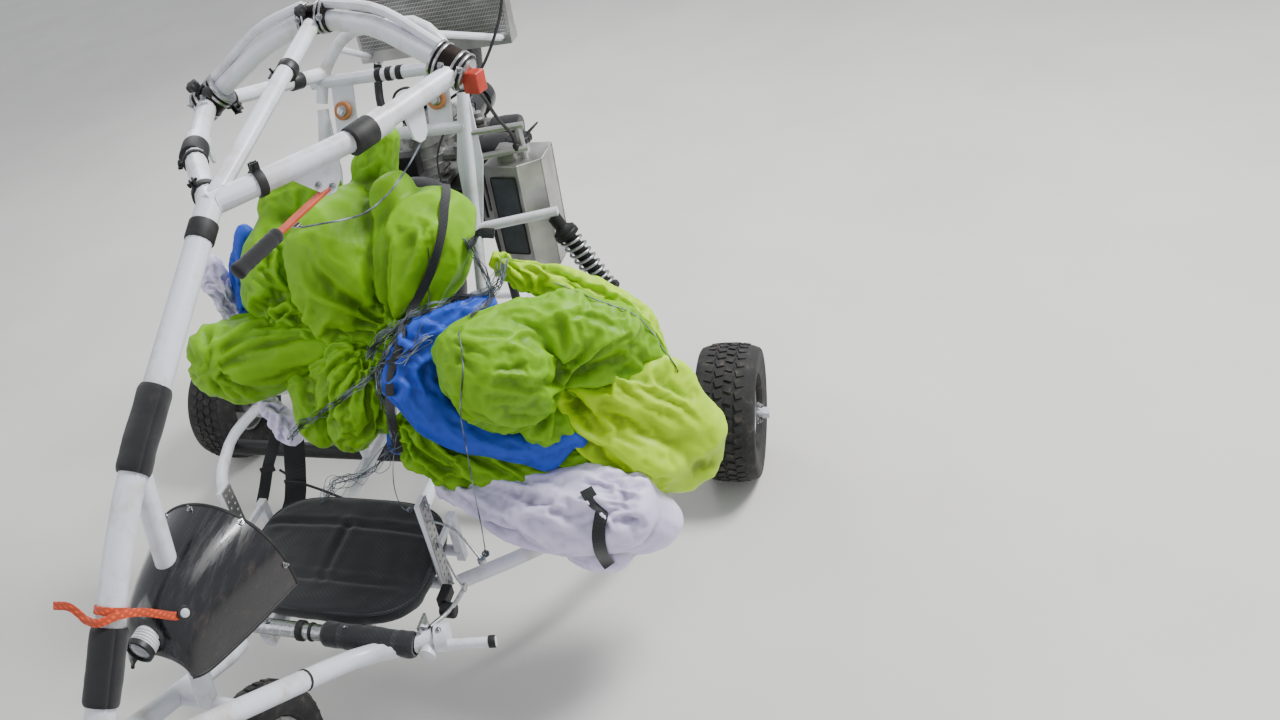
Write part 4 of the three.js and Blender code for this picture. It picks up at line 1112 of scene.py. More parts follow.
# The bundled wing: each part is a few rolls of cloth. Rows are x, y, z and radius in millimetres
SAIL = {
    "sail_back": ("sail", [
        [(50, 120, 1063, 84), (26, 50, 1012, 126), (4, 20, 942, 112), (8, 0, 873, 66)],
        [(252, 112, 1057, 76), (226, 62, 1016, 108), (200, 30, 950, 84)],
        [(-172, 140, 1056, 56), (-194, 80, 989, 78), (-218, 50, 920, 66)],
        [(-77, 170, 1138, 44), (-176, 150, 1104, 56)],
        [(108, 240, 1202, 44), (85, 210, 1149, 58)],
        [(164, 100, 1121, 50), (153, 30, 950, 56)],
        [(40, -5, 868, 54), (110, -12, 862, 52), (160, -20, 870, 46)],
        [(-150, 12, 884, 62), (-60, -4, 852, 58)],
    ]),
    "sail_low": ("sail", [
        [(-60, -80, 742, 44), (-52, -105, 690, 46)],
        [(-138, -80, 709, 46), (-122, -100, 641, 44), (-101, -120, 585, 32)],
        [(9, -60, 781, 56), (26, -100, 732, 76), (32, -120, 672, 76), (-9, -130, 590, 40)],
        [(112, -110, 751, 38), (85, -120, 644, 40)],
    ]),
    "sail_back_band": ("sail_band", [
        [(-330, 160, 1016, 22), (-361, 130, 939, 25), (-357, 100, 834, 24)],
    ]),
    "sail_back_lining": ("sail_lining", [
        [(-450, 130, 943, 34), (-429, 110, 890, 48), (-414, 100, 824, 34)],
    ]),
    "sail_low_lining": ("sail_lining", [
        [(-315, -30, 600, 28), (-281, -50, 553, 38), (-248, -70, 519, 28)],
    ]),
    "sail_roll_left": ("sail", [
        [(-355, -70, 784, 82), (-310, -50, 761, 102), (-182, -30, 793, 84), (-58, -10, 803, 60),
         (26, 0, 818, 44)],
        [(-440, 30, 742, 76), (-350, 40, 742, 84), (-230, 40, 750, 70)],
    ]),
    "sail_lobe_right": ("sail", [
        [(413, -200, 885, 80), (460, -200, 851, 124), (488, -180, 806, 108), (432, -190, 731, 54)],
        [(438, -172, 925, 40), (524, -136, 912, 60), (624, -96, 890, 66), (690, -56, 828, 68),
         (733, -20, 742, 62), (755, 0, 679, 38)],
        [(558, -90, 811, 74), (651, -60, 779, 80)],
        [(335, -95, 846, 66), (440, -80, 770, 78), (556, -70, 715, 72)],
        [(493, -170, 716, 40), (536, -170, 670, 46), (579, -160, 650, 32)],
    ]),
    # Painted sunlight: the crest is the main green cloth, coloured in the brighter sunlit green
    "sail_crest": ("sail_tip", [
        [(436, 70, 958, 32), (478, 46, 930, 44), (574, 34, 908, 50), (668, 18, 878, 52), (724, 8, 820, 46),
         (764, 6, 742, 34)],
    ]),
    # The tail's brighter green is partly its own cloth and partly painted sunlight
    "sail_tail": ("sail_tip", [
        [(560, -90, 724, 42), (669, -80, 707, 70), (770, -70, 644, 80), (832, -60, 564, 68),
         (866, -64, 503, 34)],
        [(579, -120, 695, 40), (636, -120, 628, 70), (732, -120, 567, 76), (806, -100, 493, 44),
         (862, -84, 480, 30)],
    ]),
    "sail_blue": ("sail_band", [
        [(399, -50, 911, 38), (340, -100, 896, 58), (269, -160, 868, 58), (246, -190, 807, 64),
         (276, -200, 722, 60), (346, -200, 672, 52), (414, -198, 640, 38), (479, -196, 614, 34),
         (520, -196, 594, 32), (592, -180, 632, 20)],
        [(116, -120, 610, 18), (115, -130, 553, 30)],
    ]),
    "sail_under": ("sail", [
        [(190, -165, 640, 34), (203, -170, 567, 48), (286, -180, 539, 56), (405, -180, 529, 52),
         (531, -170, 542, 52), (588, -158, 556, 42)],
    ]),
    "sail_white": ("sail_lining", [
        [(271, -200, 468, 26), (372, -230, 475, 48), (482, -250, 458, 70), (599, -260, 466, 88),
         (677, -240, 481, 98), (716, -220, 432, 80)],
        [(655, -260, 386, 54), (596, -280, 394, 40)],
    ]),
}
# Points that folds run out from: place, reach and how many folds, in millimetres
SAIL_GATHERS = {
    "sail_back": [((150, -40, 850), 380, 6.0), ((-120, 60, 860), 260, 6.0)],
    "sail_low": [((100, -100, 840), 300, 8.0)],
    "sail_back_band": [((-340, 100, 800), 300, 5.0)],
    "sail_back_lining": [((-400, 100, 790), 260, 5.0)],
    "sail_low_lining": [((-250, -60, 640), 200, 6.0)],
    "sail_roll_left": [((-345, -150, 800), 150, 5.0), ((60, -40, 820), 260, 7.0)],
    "sail_lobe_right": [((566, -140, 769), 330, 4.0)],
    "sail_crest": [((430, 60, 990), 300, 9.0)],
    "sail_tail": [((545, -90, 745), 460, 5.0)],
    "sail_blue": [((230, -160, 870), 300, 4.0), ((640, -180, 620), 240, 4.0)],
    "sail_under": [((170, -150, 640), 400, 6.0)],
    "sail_white": [((240, -190, 500), 560, 7.5)],
}
# How high folds are pressed, and how much the cloth grows in the simulation, as shares
SAIL_CLOTH = {
    "sail_back": (1.0, 0.3), "sail_low": (0.9, 0.16), "sail_back_band": (0.6, 0.2),
    "sail_back_lining": (0.6, 0.2),
    "sail_low_lining": (0.6, 0.2), "sail_roll_left": (1.0, 0.26), "sail_lobe_right": (1.0, 0.07),
    "sail_crest": (0.9, 0.12),
    "sail_tail": (1.35, 0.18), "sail_blue": (0.6, 0.06), "sail_under": (0.9, 0.12),
    "sail_white": (1.1, 0.2),
}
SAIL_NODES = {
    "sail_back": "wing_back", "sail_roll_left": "wing_roll_left", "sail_lobe_right": "wing_lobe_right",
    "sail_tail": "wing_tail", "sail_blue": "wing_blue", "sail_white": "wing_white",
}


def rolls(name, strokes, voxel):
    """The union of round rolls along the strokes, remeshed into one closed skin."""
    work = bmesh.new()
    for stroke in strokes:
        for (*a, ra), (*b, rb) in zip(stroke, stroke[1:]):
            a = Vector(a) * MM
            b = Vector(b) * MM
            steps = max(2, math.ceil((b - a).length / (0.3 * min(ra, rb) * MM)))
            for k in range(steps + 1):
                t = k / steps
                place = Matrix.Translation(a.lerp(b, t))
                bmesh.ops.create_icosphere(work, subdivisions=3, radius=(ra + (rb - ra) * t) * MM,
                                           matrix=place)
    mesh = bpy.data.meshes.new(name)
    work.to_mesh(mesh)
    work.free()
    return remeshed(name, mesh, voxel)


def remeshed(name, mesh, voxel):
    """The mesh with an even skin of the given mesh size."""
    holder = bpy.data.objects.new(name + "_holder", mesh)
    bpy.context.scene.collection.objects.link(holder)
    remesh = holder.modifiers.new("skin", "REMESH")
    remesh.mode = "VOXEL"
    remesh.voxel_size = voxel
    relax = holder.modifiers.new("relax", "SMOOTH")
    relax.factor = 0.5
    relax.iterations = 14
    depsgraph = bpy.context.evaluated_depsgraph_get()
    result = bpy.data.meshes.new_from_object(holder.evaluated_get(depsgraph), depsgraph=depsgraph)
    bpy.data.objects.remove(holder)
    result.name = name
    return result


def mesh_arrays(mesh):
    """Vertex places, normals and edge ends as arrays."""
    count = len(mesh.vertices)
    places = np.empty(count * 3)
    mesh.vertices.foreach_get("co", places)
    normals = np.empty(count * 3)
    mesh.vertex_normals.foreach_get("vector", normals)
    ends = np.empty(len(mesh.edges) * 2, int)
    mesh.edges.foreach_get("vertices", ends)
    return places.reshape(-1, 3), normals.reshape(-1, 3), ends.reshape(-1, 2)


def averaged(values, ends, rounds):
    """Values smoothed over the mesh's edges."""
    degree = np.bincount(ends.ravel(), minlength=len(values)).astype(float)
    degree = degree.reshape(-1, *[1] * (values.ndim - 1))
    for _ in range(rounds):
        total = np.zeros_like(values)
        np.add.at(total, ends[:, 0], values[ends[:, 1]])
        np.add.at(total, ends[:, 1], values[ends[:, 0]])
        values = 0.5 * values + 0.5 * total / np.maximum(degree, 1)
    return values


def gathered(places, gathers, seed):
    """Folds that run out from each gather point: sharp at the crest, and wider with distance."""
    total = np.zeros(len(places))
    for centre, reach, count in gathers:
        away = places - np.array(centre) * MM
        far = np.linalg.norm(away, axis=1) + 1e-6
        weight = np.clip(far / 0.05, 0, 1) * np.exp(-((far / (reach * MM)) ** 2))
        for k in range(len(places)):
            way = Vector(away[k] / far[k]) * (count * 0.5) + Vector((seed, far[k] * 2.2, 0))
            broad = abs(noise.noise(way))
            fine = abs(noise.noise(way * 2.3 + Vector((9.1, 0, 0))))
            total[k] += weight[k] * ((0.30 - broad) * 2.6 + (0.25 - fine) * 0.5)
    return total


# How much each kind of fold adds to the relief, and how far the skin is drawn in first
ALONG_SHARE = 0.22
CROSS_SHARE = 0.2
GATHER_SHARE = 1.9
LUMP_SHARE = 2.4
FOLD_INSET = 0.3


def press_folds(mesh, strokes, gathers, height, seed):
    """Moves the skin in and out in folds that run along each roll and out from the gathers."""
    places, normals, ends = mesh_arrays(mesh)
    best = np.full(len(places), 1e9)
    around = np.zeros(len(places))
    ahead = np.zeros(len(places))
    which = np.zeros(len(places))
    number = 0
    for stroke in strokes:
        run_so_far = 0.0
        for (*a, ra), (*b, rb) in zip(stroke, stroke[1:]):
            number += 1
            a = np.array(a) * MM
            b = np.array(b) * MM
            run = b - a
            length = np.linalg.norm(run)
            run = run / length
            side = np.cross(run, (0.3, 1.0, 0.2))
            side /= np.linalg.norm(side)
            lift = np.cross(run, side)
            away = places - a
            t = np.clip(away @ run / length, 0, 1)
            radius = (ra + (rb - ra) * t) * MM
            off = away - np.outer(t * length, run)
            gap = np.linalg.norm(off, axis=1) - radius
            near = gap < best
            best[near] = gap[near]
            around[near] = np.arctan2(off @ lift, off @ side)[near]
            ahead[near] = (run_so_far + away @ run)[near]
            which[near] = number // 2
            run_so_far += length
    moved = np.zeros(len(places))
    for k in range(len(places)):
        turn = Vector((math.cos(around[k]) * 1.9, math.sin(around[k]) * 1.9,
                       ahead[k] * 4.5 + which[k] * 5.3 + seed))
        broad = noise.noise(turn)
        fine = noise.noise(Vector((turn.x * 2.6, turn.y * 2.6, turn.z * 1.8 + 7.1)))
        moved[k] = (1 - 2 * abs(broad)) * 0.75 + (1 - 2 * abs(fine)) * 0.4 - 0.35
    cross = np.array([1 - 3 * abs(noise.noise(Vector(p) * 11.0 + Vector((seed, 0, 0)))) for p in places])
    lumps = np.array([noise.noise(Vector(p) * 7.5 + Vector((0, seed, 0))) for p in places])
    moved = ALONG_SHARE * moved + CROSS_SHARE * cross
    moved = moved + GATHER_SHARE * gathered(places, gathers, seed) + LUMP_SHARE * lumps
    moved = averaged(moved, ends, 1) - FOLD_INSET
    fresh = places + normals * (moved * height)[:, None]
    mesh.vertices.foreach_set("co", fresh.ravel())
    mesh.update()


# Thin stiff sailcloth in still air, in the simulation's own units
CLOTH = {
    "quality": 4, "mass": 0.25, "air_damping": 6, "tension_stiffness": 12, "compression_stiffness": 12,
    "shear_stiffness": 4, "bending_stiffness": 0.04,
}


def crumple(piece, growth, cap, frames=16):
    """Cloth simulation: the skin grows by the given share, so it buckles into natural creases."""
    before, _, _ = mesh_arrays(piece.data)
    cloth = piece.modifiers.new("cloth", "CLOTH")
    for key, value in CLOTH.items():
        setattr(cloth.settings, key, value)
    cloth.settings.shrink_min = -growth
    cloth.settings.effector_weights.gravity = 0
    cloth.collision_settings.use_collision = False
    cloth.collision_settings.use_self_collision = False
    cloth.point_cache.frame_start = 1
    cloth.point_cache.frame_end = frames
    scene = bpy.context.scene
    for frame in range(1, frames + 1):
        scene.frame_set(frame)
    depsgraph = bpy.context.evaluated_depsgraph_get()
    result = bpy.data.meshes.new_from_object(piece.evaluated_get(depsgraph), depsgraph=depsgraph)
    after, _, _ = mesh_arrays(result)
    piece.modifiers.remove(cloth)
    bpy.data.meshes.remove(result)
    scene.frame_set(1)
    step = after - before
    far = np.linalg.norm(step, axis=1)
    step *= np.minimum(1, cap / np.maximum(far, 1e-9))[:, None]
    piece.data.vertices.foreach_set("co", (before + step).ravel())
    piece.data.update()


def sharpen(mesh, share, limit):
    """Draws crests out and hollows in, so that creases read as crisp as stiff sailcloth's."""
    places, normals, ends = mesh_arrays(mesh)
    for rounds in (4, 16):
        off = ((places - averaged(places, ends, rounds)) * normals).sum(axis=1)
        places = places + normals * np.clip(off * share, -limit, limit)[:, None]
    mesh.vertices.foreach_set("co", places.ravel())
    mesh.update()


def mark_creases(mesh):
    """Writes the attribute crease: above 0 on ridges and below 0 in hollows; the sailcloth finish turns it
    into painted light on ridges and painted shade in hollows.
    """
    places, normals, ends = mesh_arrays(mesh)
    narrow = ((places - averaged(places, ends, 6)) * normals).sum(axis=1)
    wide = ((places - averaged(places, ends, 40)) * normals).sum(axis=1)
    value = np.clip(narrow / 0.0022, -1, 1) * 0.55 + np.clip(wide / 0.012, -1, 1) * 0.6
    attribute = mesh.attributes.new("crease", "FLOAT", "POINT")
    attribute.data.foreach_set("value", averaged(value, ends, 1).astype(np.float32))


def refined(piece):
    """Smooth shading and one live subdivision."""
    for polygon in piece.data.polygons:
        polygon.use_smooth = True
    finer = piece.modifiers.new("finer", "SUBSURF")
    finer.levels = 1
    finer.render_levels = 1


# Parts with no node of their own have a finer mesh, as a share of the main one
SMALL_PART_MESH = 0.95
# Farthest that cloth moves in the simulation, and how far its creases are sharpened, in metres
CLOTH_REACH = 0.022
CREASE_SHARE = 0.55
CREASE_LIMIT = 0.004


def build_sail():
    """Builds every part of the bundled wing."""
    for seed, (name, (part, strokes)) in enumerate(SAIL.items()):
        height, growth = SAIL_CLOTH[name]
        mesh = rolls(name, strokes, sizes().voxel * (1.0 if name in SAIL_NODES else SMALL_PART_MESH))
        press_folds(mesh, strokes, SAIL_GATHERS[name], sizes().fold * height, 3.1 * seed)
        piece = shown(name, mesh, ripstop_nylon(part), None)
        crumple(piece, growth, CLOTH_REACH)
        sharpen(piece.data, CREASE_SHARE, CREASE_LIMIT)
        mark_creases(piece.data)
        refined(piece)
        nodes = (SAIL_NODES[name],) if name in SAIL_NODES else ()
        settle(piece, "frame", nodes)


# Fitted detail of the frame. Runs are pairs of points in millimetres, as in the CAD source
MAST_RUN = ((0, -906, 1068), (0, -357, 1374))
NOSE_RUN = ((0, -1232, 748), (0, -906, 1068))
ARM_RUN = ((0, -357, 1374), (214, -70, 1366))
ARM_REAR_RUN = ((214, -70, 1366), (352, 248, 1380))
SHOULDER_RUN = ((352, 248, 1380), (150, 302, 1496))
STRUT_RUN = ((0, -958, 556), (0, -840, 1095))
CROSSBAR_RUN = ((-284, -600, 355), (284, -600, 355))
PEG_RUN = ((340, -586, 351), (463, -556, 350))
FRONT_RAIL_RUN = ((330, -566, 352), (150, -650, 350))
RAIL_RUN = ((30, -1202, 716), (150, -650, 350))


def on_post(x, z):
    """A point on the plane of the leaning rear posts, in millimetres."""
    return (x, 273 + (z - 345) * 297 / 820, z)


def left_of(points):
    """The same points on the craft's left side."""
    return tuple((-x, y, z) for x, y, z in points)


def sleeve(run, start, end, radius, soft=2.0, sides=28):
    """A turned sleeve between two shares of a straight run, with softened ends; sizes in millimetres."""
    a, b = vectors(run)
    length = (b - a).length / MM
    low, high = start * length, end * length
    rows = [(radius - soft, low), (radius - 0.3 * soft, low + 0.3 * soft), (radius, low + soft),
            (radius, high - soft),
            (radius - 0.3 * soft, high - 0.3 * soft), (radius - soft, high)]
    return lathe(rows, a, b - a, sides)


def band(run, share, radius, width, out=None, lug=14):
    """A clamp band round a tube, with its split lug pointing out."""
    a, b = vectors(run)
    half = width * MM / (b - a).length / 2
    shells = [sleeve(run, share - half, share + half, radius, 1.5)]
    if out:
        axis = (b - a).normalized()
        up = (Vector(out) - axis * axis.dot(Vector(out))).normalized()
        side = axis.cross(up)
        for shift in (-0.3, 0.3):
            centre = a.lerp(b, share) + up * ((radius + lug / 2 - 1) * MM) + side * (shift * lug * MM)
            shells.append(brick((width, lug, 4), centre, (axis, up, side)))
        centre = a.lerp(b, share) + up * ((radius + lug * 0.5) * MM)
        shells.append(tube([centre - side * (lug * 0.9 * MM), centre + side * (lug * 0.9 * MM)], 3.2 * MM,
                           10))
        shells.append(tube([centre - side * (lug * 0.9 * MM), centre - side * (lug * 0.62 * MM)], 6 * MM,
                           6))
    return shells


def saddle(run, radius, onto, onto_radius, count=36):
    """Where a round tube meets a second one: points on the second's skin, and the ways off it."""
    a, b = vectors(run)
    c, d = vectors(onto)
    way = (b - a).normalized()
    line = (d - c).normalized()
    side = way.orthogonal().normalized()
    lift = way.cross(side)
    u = way - line * way.dot(line)
    path, outs = [], []
    for k in range(count + 1):
        t = 2 * math.pi * k / count
        out = side * math.cos(t) + lift * math.sin(t)
        start = a + out * radius * MM
        w = start - c
        w = w - line * w.dot(line)
        half_b = u.dot(w)
        inside = half_b * half_b - u.dot(u) * (w.dot(w) - (onto_radius * MM) ** 2)
        path.append(start + way * ((-half_b - math.sqrt(max(inside, 0))) / u.dot(u)))
        outs.append((out - way).normalized())
    return path, outs


def knob(centre, axis, radius, height, lobes=5):
    """A moulded star knob on a short stem."""
    axis = Vector(axis).normalized()
    side = axis.orthogonal().normalized()
    lift = axis.cross(side)
    base = Vector(centre) * MM
    verts = []
    around = lobes * 8
    levels = [(0.62, 0.0), (0.95, 0.18), (1.0, 0.4), (1.0, 0.75), (0.9, 0.95), (0.6, 1.0)]
    for share, rise in levels:
        for j in range(around):
            a = 2 * math.pi * j / around
            r = radius * MM * share * (1 - 0.11 * (1 + math.cos(a * lobes)))
            verts.append(base + axis * (height * MM * (0.35 + 0.65 * rise))
                         + (side * math.cos(a) + lift * math.sin(a)) * r)
    return [(verts, closed_faces(len(levels), around)), tube([base, base + axis * (height * MM * 0.5)],
                                                             radius * 0.35 * MM, 12)]


def build_welds():
    """Lays the weld beads where tubes meet."""
    weld = sizes().weld
    mast = (MAST_RUN, 28)
    joints = [saddle(STRUT_RUN, 22, *mast)]
    for turn in (tuple, left_of):
        arm = turn(ARM_RUN)
        joints.append(saddle((arm[1], arm[0]), 26, *mast))
        joints.append(saddle(turn(((60, 608, 1270), on_post(217, 1270))), 18,
                             turn((on_post(217, 300), on_post(217, 1200))), 18))
        joints.append(saddle(turn((on_post(60, 1115), on_post(217, 1115))), 17,
                             turn((on_post(217, 300), on_post(217, 1200))), 17))
        joints.append(saddle(turn(((334, 262, 1292), on_post(200, 1292))), 20,
                             turn((on_post(217, 1216), on_post(200, 1300))), 21))
    paths = joints + [ring(point(x, -600, 333), Z_AXIS, 20 * MM) for x in (-118, 118)]
    weld_piece = row("weld_beads", paths, powder_coated_steel(), weld * 0.55,
                     (weld * 0.7, weld, weld * 0.45))
    settle(weld_piece)


def build_clamps():
    """Builds the clamp rings, knobs, bolts and sleeves on the upper frame."""
    rubber = extruded_rubber()
    shells = []
    for turn in (tuple, left_of):
        shells.append(sleeve(turn(ARM_REAR_RUN), -0.05, 0.14, 33.6, 3))
    shells.append(sleeve(MAST_RUN, 0.86, 0.93, 31.5, 3))
    shells += band(ARM_RUN, 0.325, 31, 20, (-0.2, -0.3, 1), 16)
    shells += band(left_of(ARM_RUN), 0.2, 31, 26, (-0.5, -0.2, 1), 14)
    shells += band(left_of(ARM_RUN), 0.86, 30.5, 14, (-1, -0.4, 0.2), 12)
    for x in (-34, -2, 30):
        shells.append(sleeve((on_post(x, 1270), on_post(x + 18, 1270)), 0, 1, 20, 1.5))
    settle(from_shells("arm_sleeves_and_bands", shells, rubber))
    bronze = []
    for turn in (tuple, left_of):
        for share in (-0.085, -0.02, 0.16, 0.22):
            length = 0.012
            bronze.append(sleeve(turn(SHOULDER_RUN), share, share + length * 2.5, 46.5, 1.2, 40))
        bronze.append(sleeve(turn(SHOULDER_RUN), -0.125, -0.1, 38, 6, 40))
    for x in (-33, -20, 14, 27):
        bronze.append(sleeve(((x, 300, 1534), (x + 6, 300, 1534)), 0, 1, 40, 1, 40))
    settle(from_shells("clamp_ridges", bronze, zinc_plated_steel()))
    knobs = []
    knobs += knob((-352, 225, 1416), (-0.2, -0.35, 1), 19, 34)
    knobs += knob((-300, 195, 1412), (0.1, -0.5, 1), 15, 26)
    knobs += knob((-8, 262, 1556), (-0.1, -0.5, 1), 17, 24)
    knobs += band(((0, 60, 1470), (0, 260, 1528)), 0.2, 26, 26, (-1, -0.3, -0.4), 26)
    knobs += band(((-330, 262, 1372), on_post(-200, 1292)), 0.1, 25, 22, (0.2, -1, -0.3), 22)
    knobs += band(((-330, 262, 1372), on_post(-200, 1292)), 0.72, 24, 40, None)
    settle(from_shells("clamp_knobs", knobs, moulded_nylon(BLACK_NYLON)))
    points = []
    for turn in (1, -1):
        points += [((turn * 372, 205, 1392), (turn, -0.6, 0.5)), ((turn * 330, 205, 1408), (0, -0.8, 1)),
                   ((turn * 374, 262, 1352), (turn, 0, -0.4)), ((turn * 30, 262, 1545), (0, -1, 0.6))]
    points += [((165.5, -142.5, 1294), (0.8, -0.6, 0)), ((147, -167, 1310), (0.8, -0.6, 0))]
    settle(bolts("clamp_bolts", points, zinc_plated_steel(), 10, 6, 17))


def build_bushings():
    """Builds the two engine mount bushings in their plates."""
    pink, steel = [], []
    for x in (-145, 145):
        face = Vector(on_post(x, 1190))
        lean = Vector((0, 1, -0.362)).normalized()
        rows = [(23.5, -21), (27, -18), (27, -12), (22, -9), (22, 9), (27, 12), (27, 18), (23.5, 21)]
        pink.append(lathe(rows, face * MM, lean))
        steel.append(lathe([(13, -26), (15, -25), (15, 25), (13, 26)], face * MM, lean))
        steel.append(lathe([(9, -31), (9.5, -30), (9.5, 30), (9, 31)], face * MM, lean, 6))
    settle(from_shells("mount_bushings", pink, moulded_nylon("b0703c")))
    settle(from_shells("mount_bolts", steel, zinc_plated_steel()))


def stretch_of(path, start, end, steps):
    """Evenly spaced points on the part of a path between two shares of its length."""
    lengths = [0.0]
    for a, b in zip(path, path[1:]):
        lengths.append(lengths[-1] + (b - a).length)
    result = []
    for k in range(steps + 1):
        want = lengths[-1] * (start + (end - start) * k / steps)
        i = max(0, min(len(path) - 2, sum(1 for d in lengths if d <= want) - 1))
        result.append(path[i].lerp(path[i + 1], (want - lengths[i]) / (lengths[i + 1] - lengths[i])))
    return result


# Radius of the foam sleeves, and how far the first rings at each end are rounded off, in millimetres
FOAM_RADIUS = 34
FOAM_ENDS = (3.0, 1.2, 0.3)


def build_foam_sleeves():
    """Builds the two split foam sleeves on the mast: lumpy, with a slit along each."""
    path = bent_path(vectors([NOSE_RUN[0], NOSE_RUN[1], MAST_RUN[1]]), 150 * MM, 16)
    for name, start, end in (("mast_foam_upper", 0.465, 0.622), ("mast_foam_lower", 0.087, 0.213)):
        run = stretch_of(path, start, end, 36)
        sides = 48
        verts = []
        for k, (centre, (side, lift)) in enumerate(zip(run, frames_along(run, X_AXIS))):
            close = min(k, len(run) - 1 - k)
            for j in range(sides):
                a = 2 * math.pi * j / sides
                out = side * math.cos(a) + lift * math.sin(a)
                at = centre + out * FOAM_RADIUS * MM
                lump = noise.noise(at * 26) * 1.6 + noise.noise(at * 80) * 0.5
                slit = 2.6 * math.exp(-(((a - 2.1) * FOAM_RADIUS) / 2.2) ** 2)
                worn = FOAM_ENDS[close] if close < len(FOAM_ENDS) else 0
                r = FOAM_RADIUS + lump - slit - worn
                verts.append(centre + out * r * MM)
        shell = (verts, closed_faces(len(run), sides))
        piece = from_shells(name + "_sleeve", [shell], closed_cell_foam(), 50)
        settle(piece, "frame", (name,))


# Nose: cowl, lamp, strap round the mast, crossbar fittings
COWL_ROWS = ((-1018, 72, 778, 724), (-1014, 78, 786, 722), (-990, 88, 846, 713), (-935, 105, 880, 706),
             (-850, 130, 896, 700), (-742, 160, 903, 695))
COWL_WALL = 5


def cowl_point(y, turn, inset=0.0):
    """A point on the cowl at a fore and aft place, turned from its left edge (0) to its right edge (1)."""
    rows = COWL_ROWS
    k = max(i for i in range(len(rows) - 1) if rows[i][0] <= y or i == 0)
    t = (y - rows[k][0]) / (rows[k + 1][0] - rows[k][0])
    a, b, c, d = rows[max(0, k - 1)], rows[k], rows[k + 1], rows[min(len(rows) - 1, k + 2)]
    values = []
    for i in (1, 2, 3):
        m0 = (c[i] - a[i]) / (c[0] - a[0]) * (c[0] - b[0])
        m1 = (d[i] - b[i]) / (d[0] - b[0]) * (c[0] - b[0])
        values.append((2 * t**3 - 3 * t * t + 1) * b[i] + (t**3 - 2 * t * t + t) * m0
                      + (3 * t * t - 2 * t**3) * c[i]
                      + (t**3 - t * t) * m1)
    half, crown, edge = values
    angle = math.pi * (1 - turn)
    return point((half - inset) * math.cos(angle), y,
                 edge + (crown - inset - edge) * abs(math.sin(angle)) ** 0.8)


def build_cowl():
    """Builds the moulded nose cowl: one thin open shell with a rolled rim, its screws and its trim."""
    along, around = 34, 44
    low, high = COWL_ROWS[0][0], COWL_ROWS[-1][0]
    verts, faces = [], []
    for inset in (0, COWL_WALL):
        for k in range(along + 1):
            y = low + (high - low) * (k / along) ** 1.15
            for j in range(around + 1):
                verts.append(cowl_point(y, j / around, inset))
    step = around + 1
    layer = (along + 1) * step
    for base in (0, layer):
        for k in range(along):
            for j in range(around):
                i = base + k * step + j
                faces.append((i, i + 1, i + step + 1, i + step))
    border = [k * step for k in range(along + 1)] + [along * step + j for j in range(1, step)]
    border += [k * step + around for k in range(along - 1, -1, -1)] + list(range(around - 1, 0, -1))
    faces += [(a, b, b + layer, a + layer) for a, b in zip(border, border[1:] + border[:1])]
    shell = from_shells("cowl_shell", [(verts, faces)], gelcoat_fibreglass(), 40)
    rounded_edges(shell, 1.6 * MM, 3)
    settle(shell, "frame", ("nose_cowl",))
    rim = [cowl_point(high - 2, j / 60, 1) for j in range(61)]
    lips = [tube(rim, 4.2 * MM, 8, squash=0.8)]
    for turn in (0.0, 1.0):
        lips.append(tube([cowl_point(low + (high - low) * k / 30, turn, 1) for k in range(31)], 4.2 * MM,
                         8))
    settle(from_shells("cowl_trim", lips, extruded_rubber()))
    points = []
    for y, turn in ((-758, 0.47), (-752, 0.70), (-752, 0.93), (-752, 0.3), (-752, 0.07)):
        at = cowl_point(y, turn)
        out = (cowl_point(y, turn) - cowl_point(y, turn, 4)).normalized()
        points.append((at / MM + out * 0.8, out))
    settle(bolts("cowl_screws", points, zinc_plated_steel(), 8, 3.6, 13))


LAMP_AT = (-4, -1012, 806)


def build_lamp():
    """Builds the headlamp: cast body with cooling ribs, bezel, reflector bowl and clear lens."""
    base = Vector(LAMP_AT) * MM
    body = [(9, 40), (15, 39), (20, 34), (24, 24), (26.5, 12)]
    for d in (10, 4, -2, -8):
        body += [(27.5, d), (27.5, d - 2.6), (25.2, d - 3.2), (25.2, d - 5.4)]
    body += [(27.8, -15), (27.8, -22), (24.5, -22.5), (22, -12), (14, 2), (5, 8), (0.4, 8)]
    ahead = Vector((0, 1, 0.02))
    housing = from_shells("lamp_housing", [lathe(body, base, ahead, 44)],
                          moulded_nylon(PALE_NYLON))
    settle(housing, "frame", ("headlamp",))
    bezel = [(24.6, -16), (28.6, -16), (29.2, -20), (28.8, -27), (25.6, -29), (24.2, -27.5), (24.2, -17)]
    settle(from_shells("lamp_bezel", [lathe(bezel, base, ahead, 44, loop=True)],
                       moulded_nylon("1a1b1d")))
    bowl = [(0.3, 6), (6, 4.5), (13, -1), (20, -11), (23.4, -21), (23.9, -21), (20.6, -11), (13.5, 0),
            (6.4, 6), (0.3, 7.4)]
    settle(from_shells("lamp_reflector", [lathe(bowl, base, ahead, 16)],
                       zinc_plated_steel(), 20))
    lens = [(0.3, -27), (9, -26.6), (17, -25.4), (23.6, -22.6), (23.6, -20.4), (17, -23.2), (9, -24.4),
            (0.3, -24.8)]
    cup = [lathe(lens, base, ahead, 44)]
    for k in range(6):
        a = math.pi * k / 3
        spot = base + point(12 * math.cos(a), 0, 12 * math.sin(a))
        cup.append(lathe([(0.3, -24.2), (4.6, -23), (4.6, -14), (0.3, -10)], spot, ahead, 14))
    settle(from_shells("lamp_lens", cup, clear_polycarbonate(), 50))


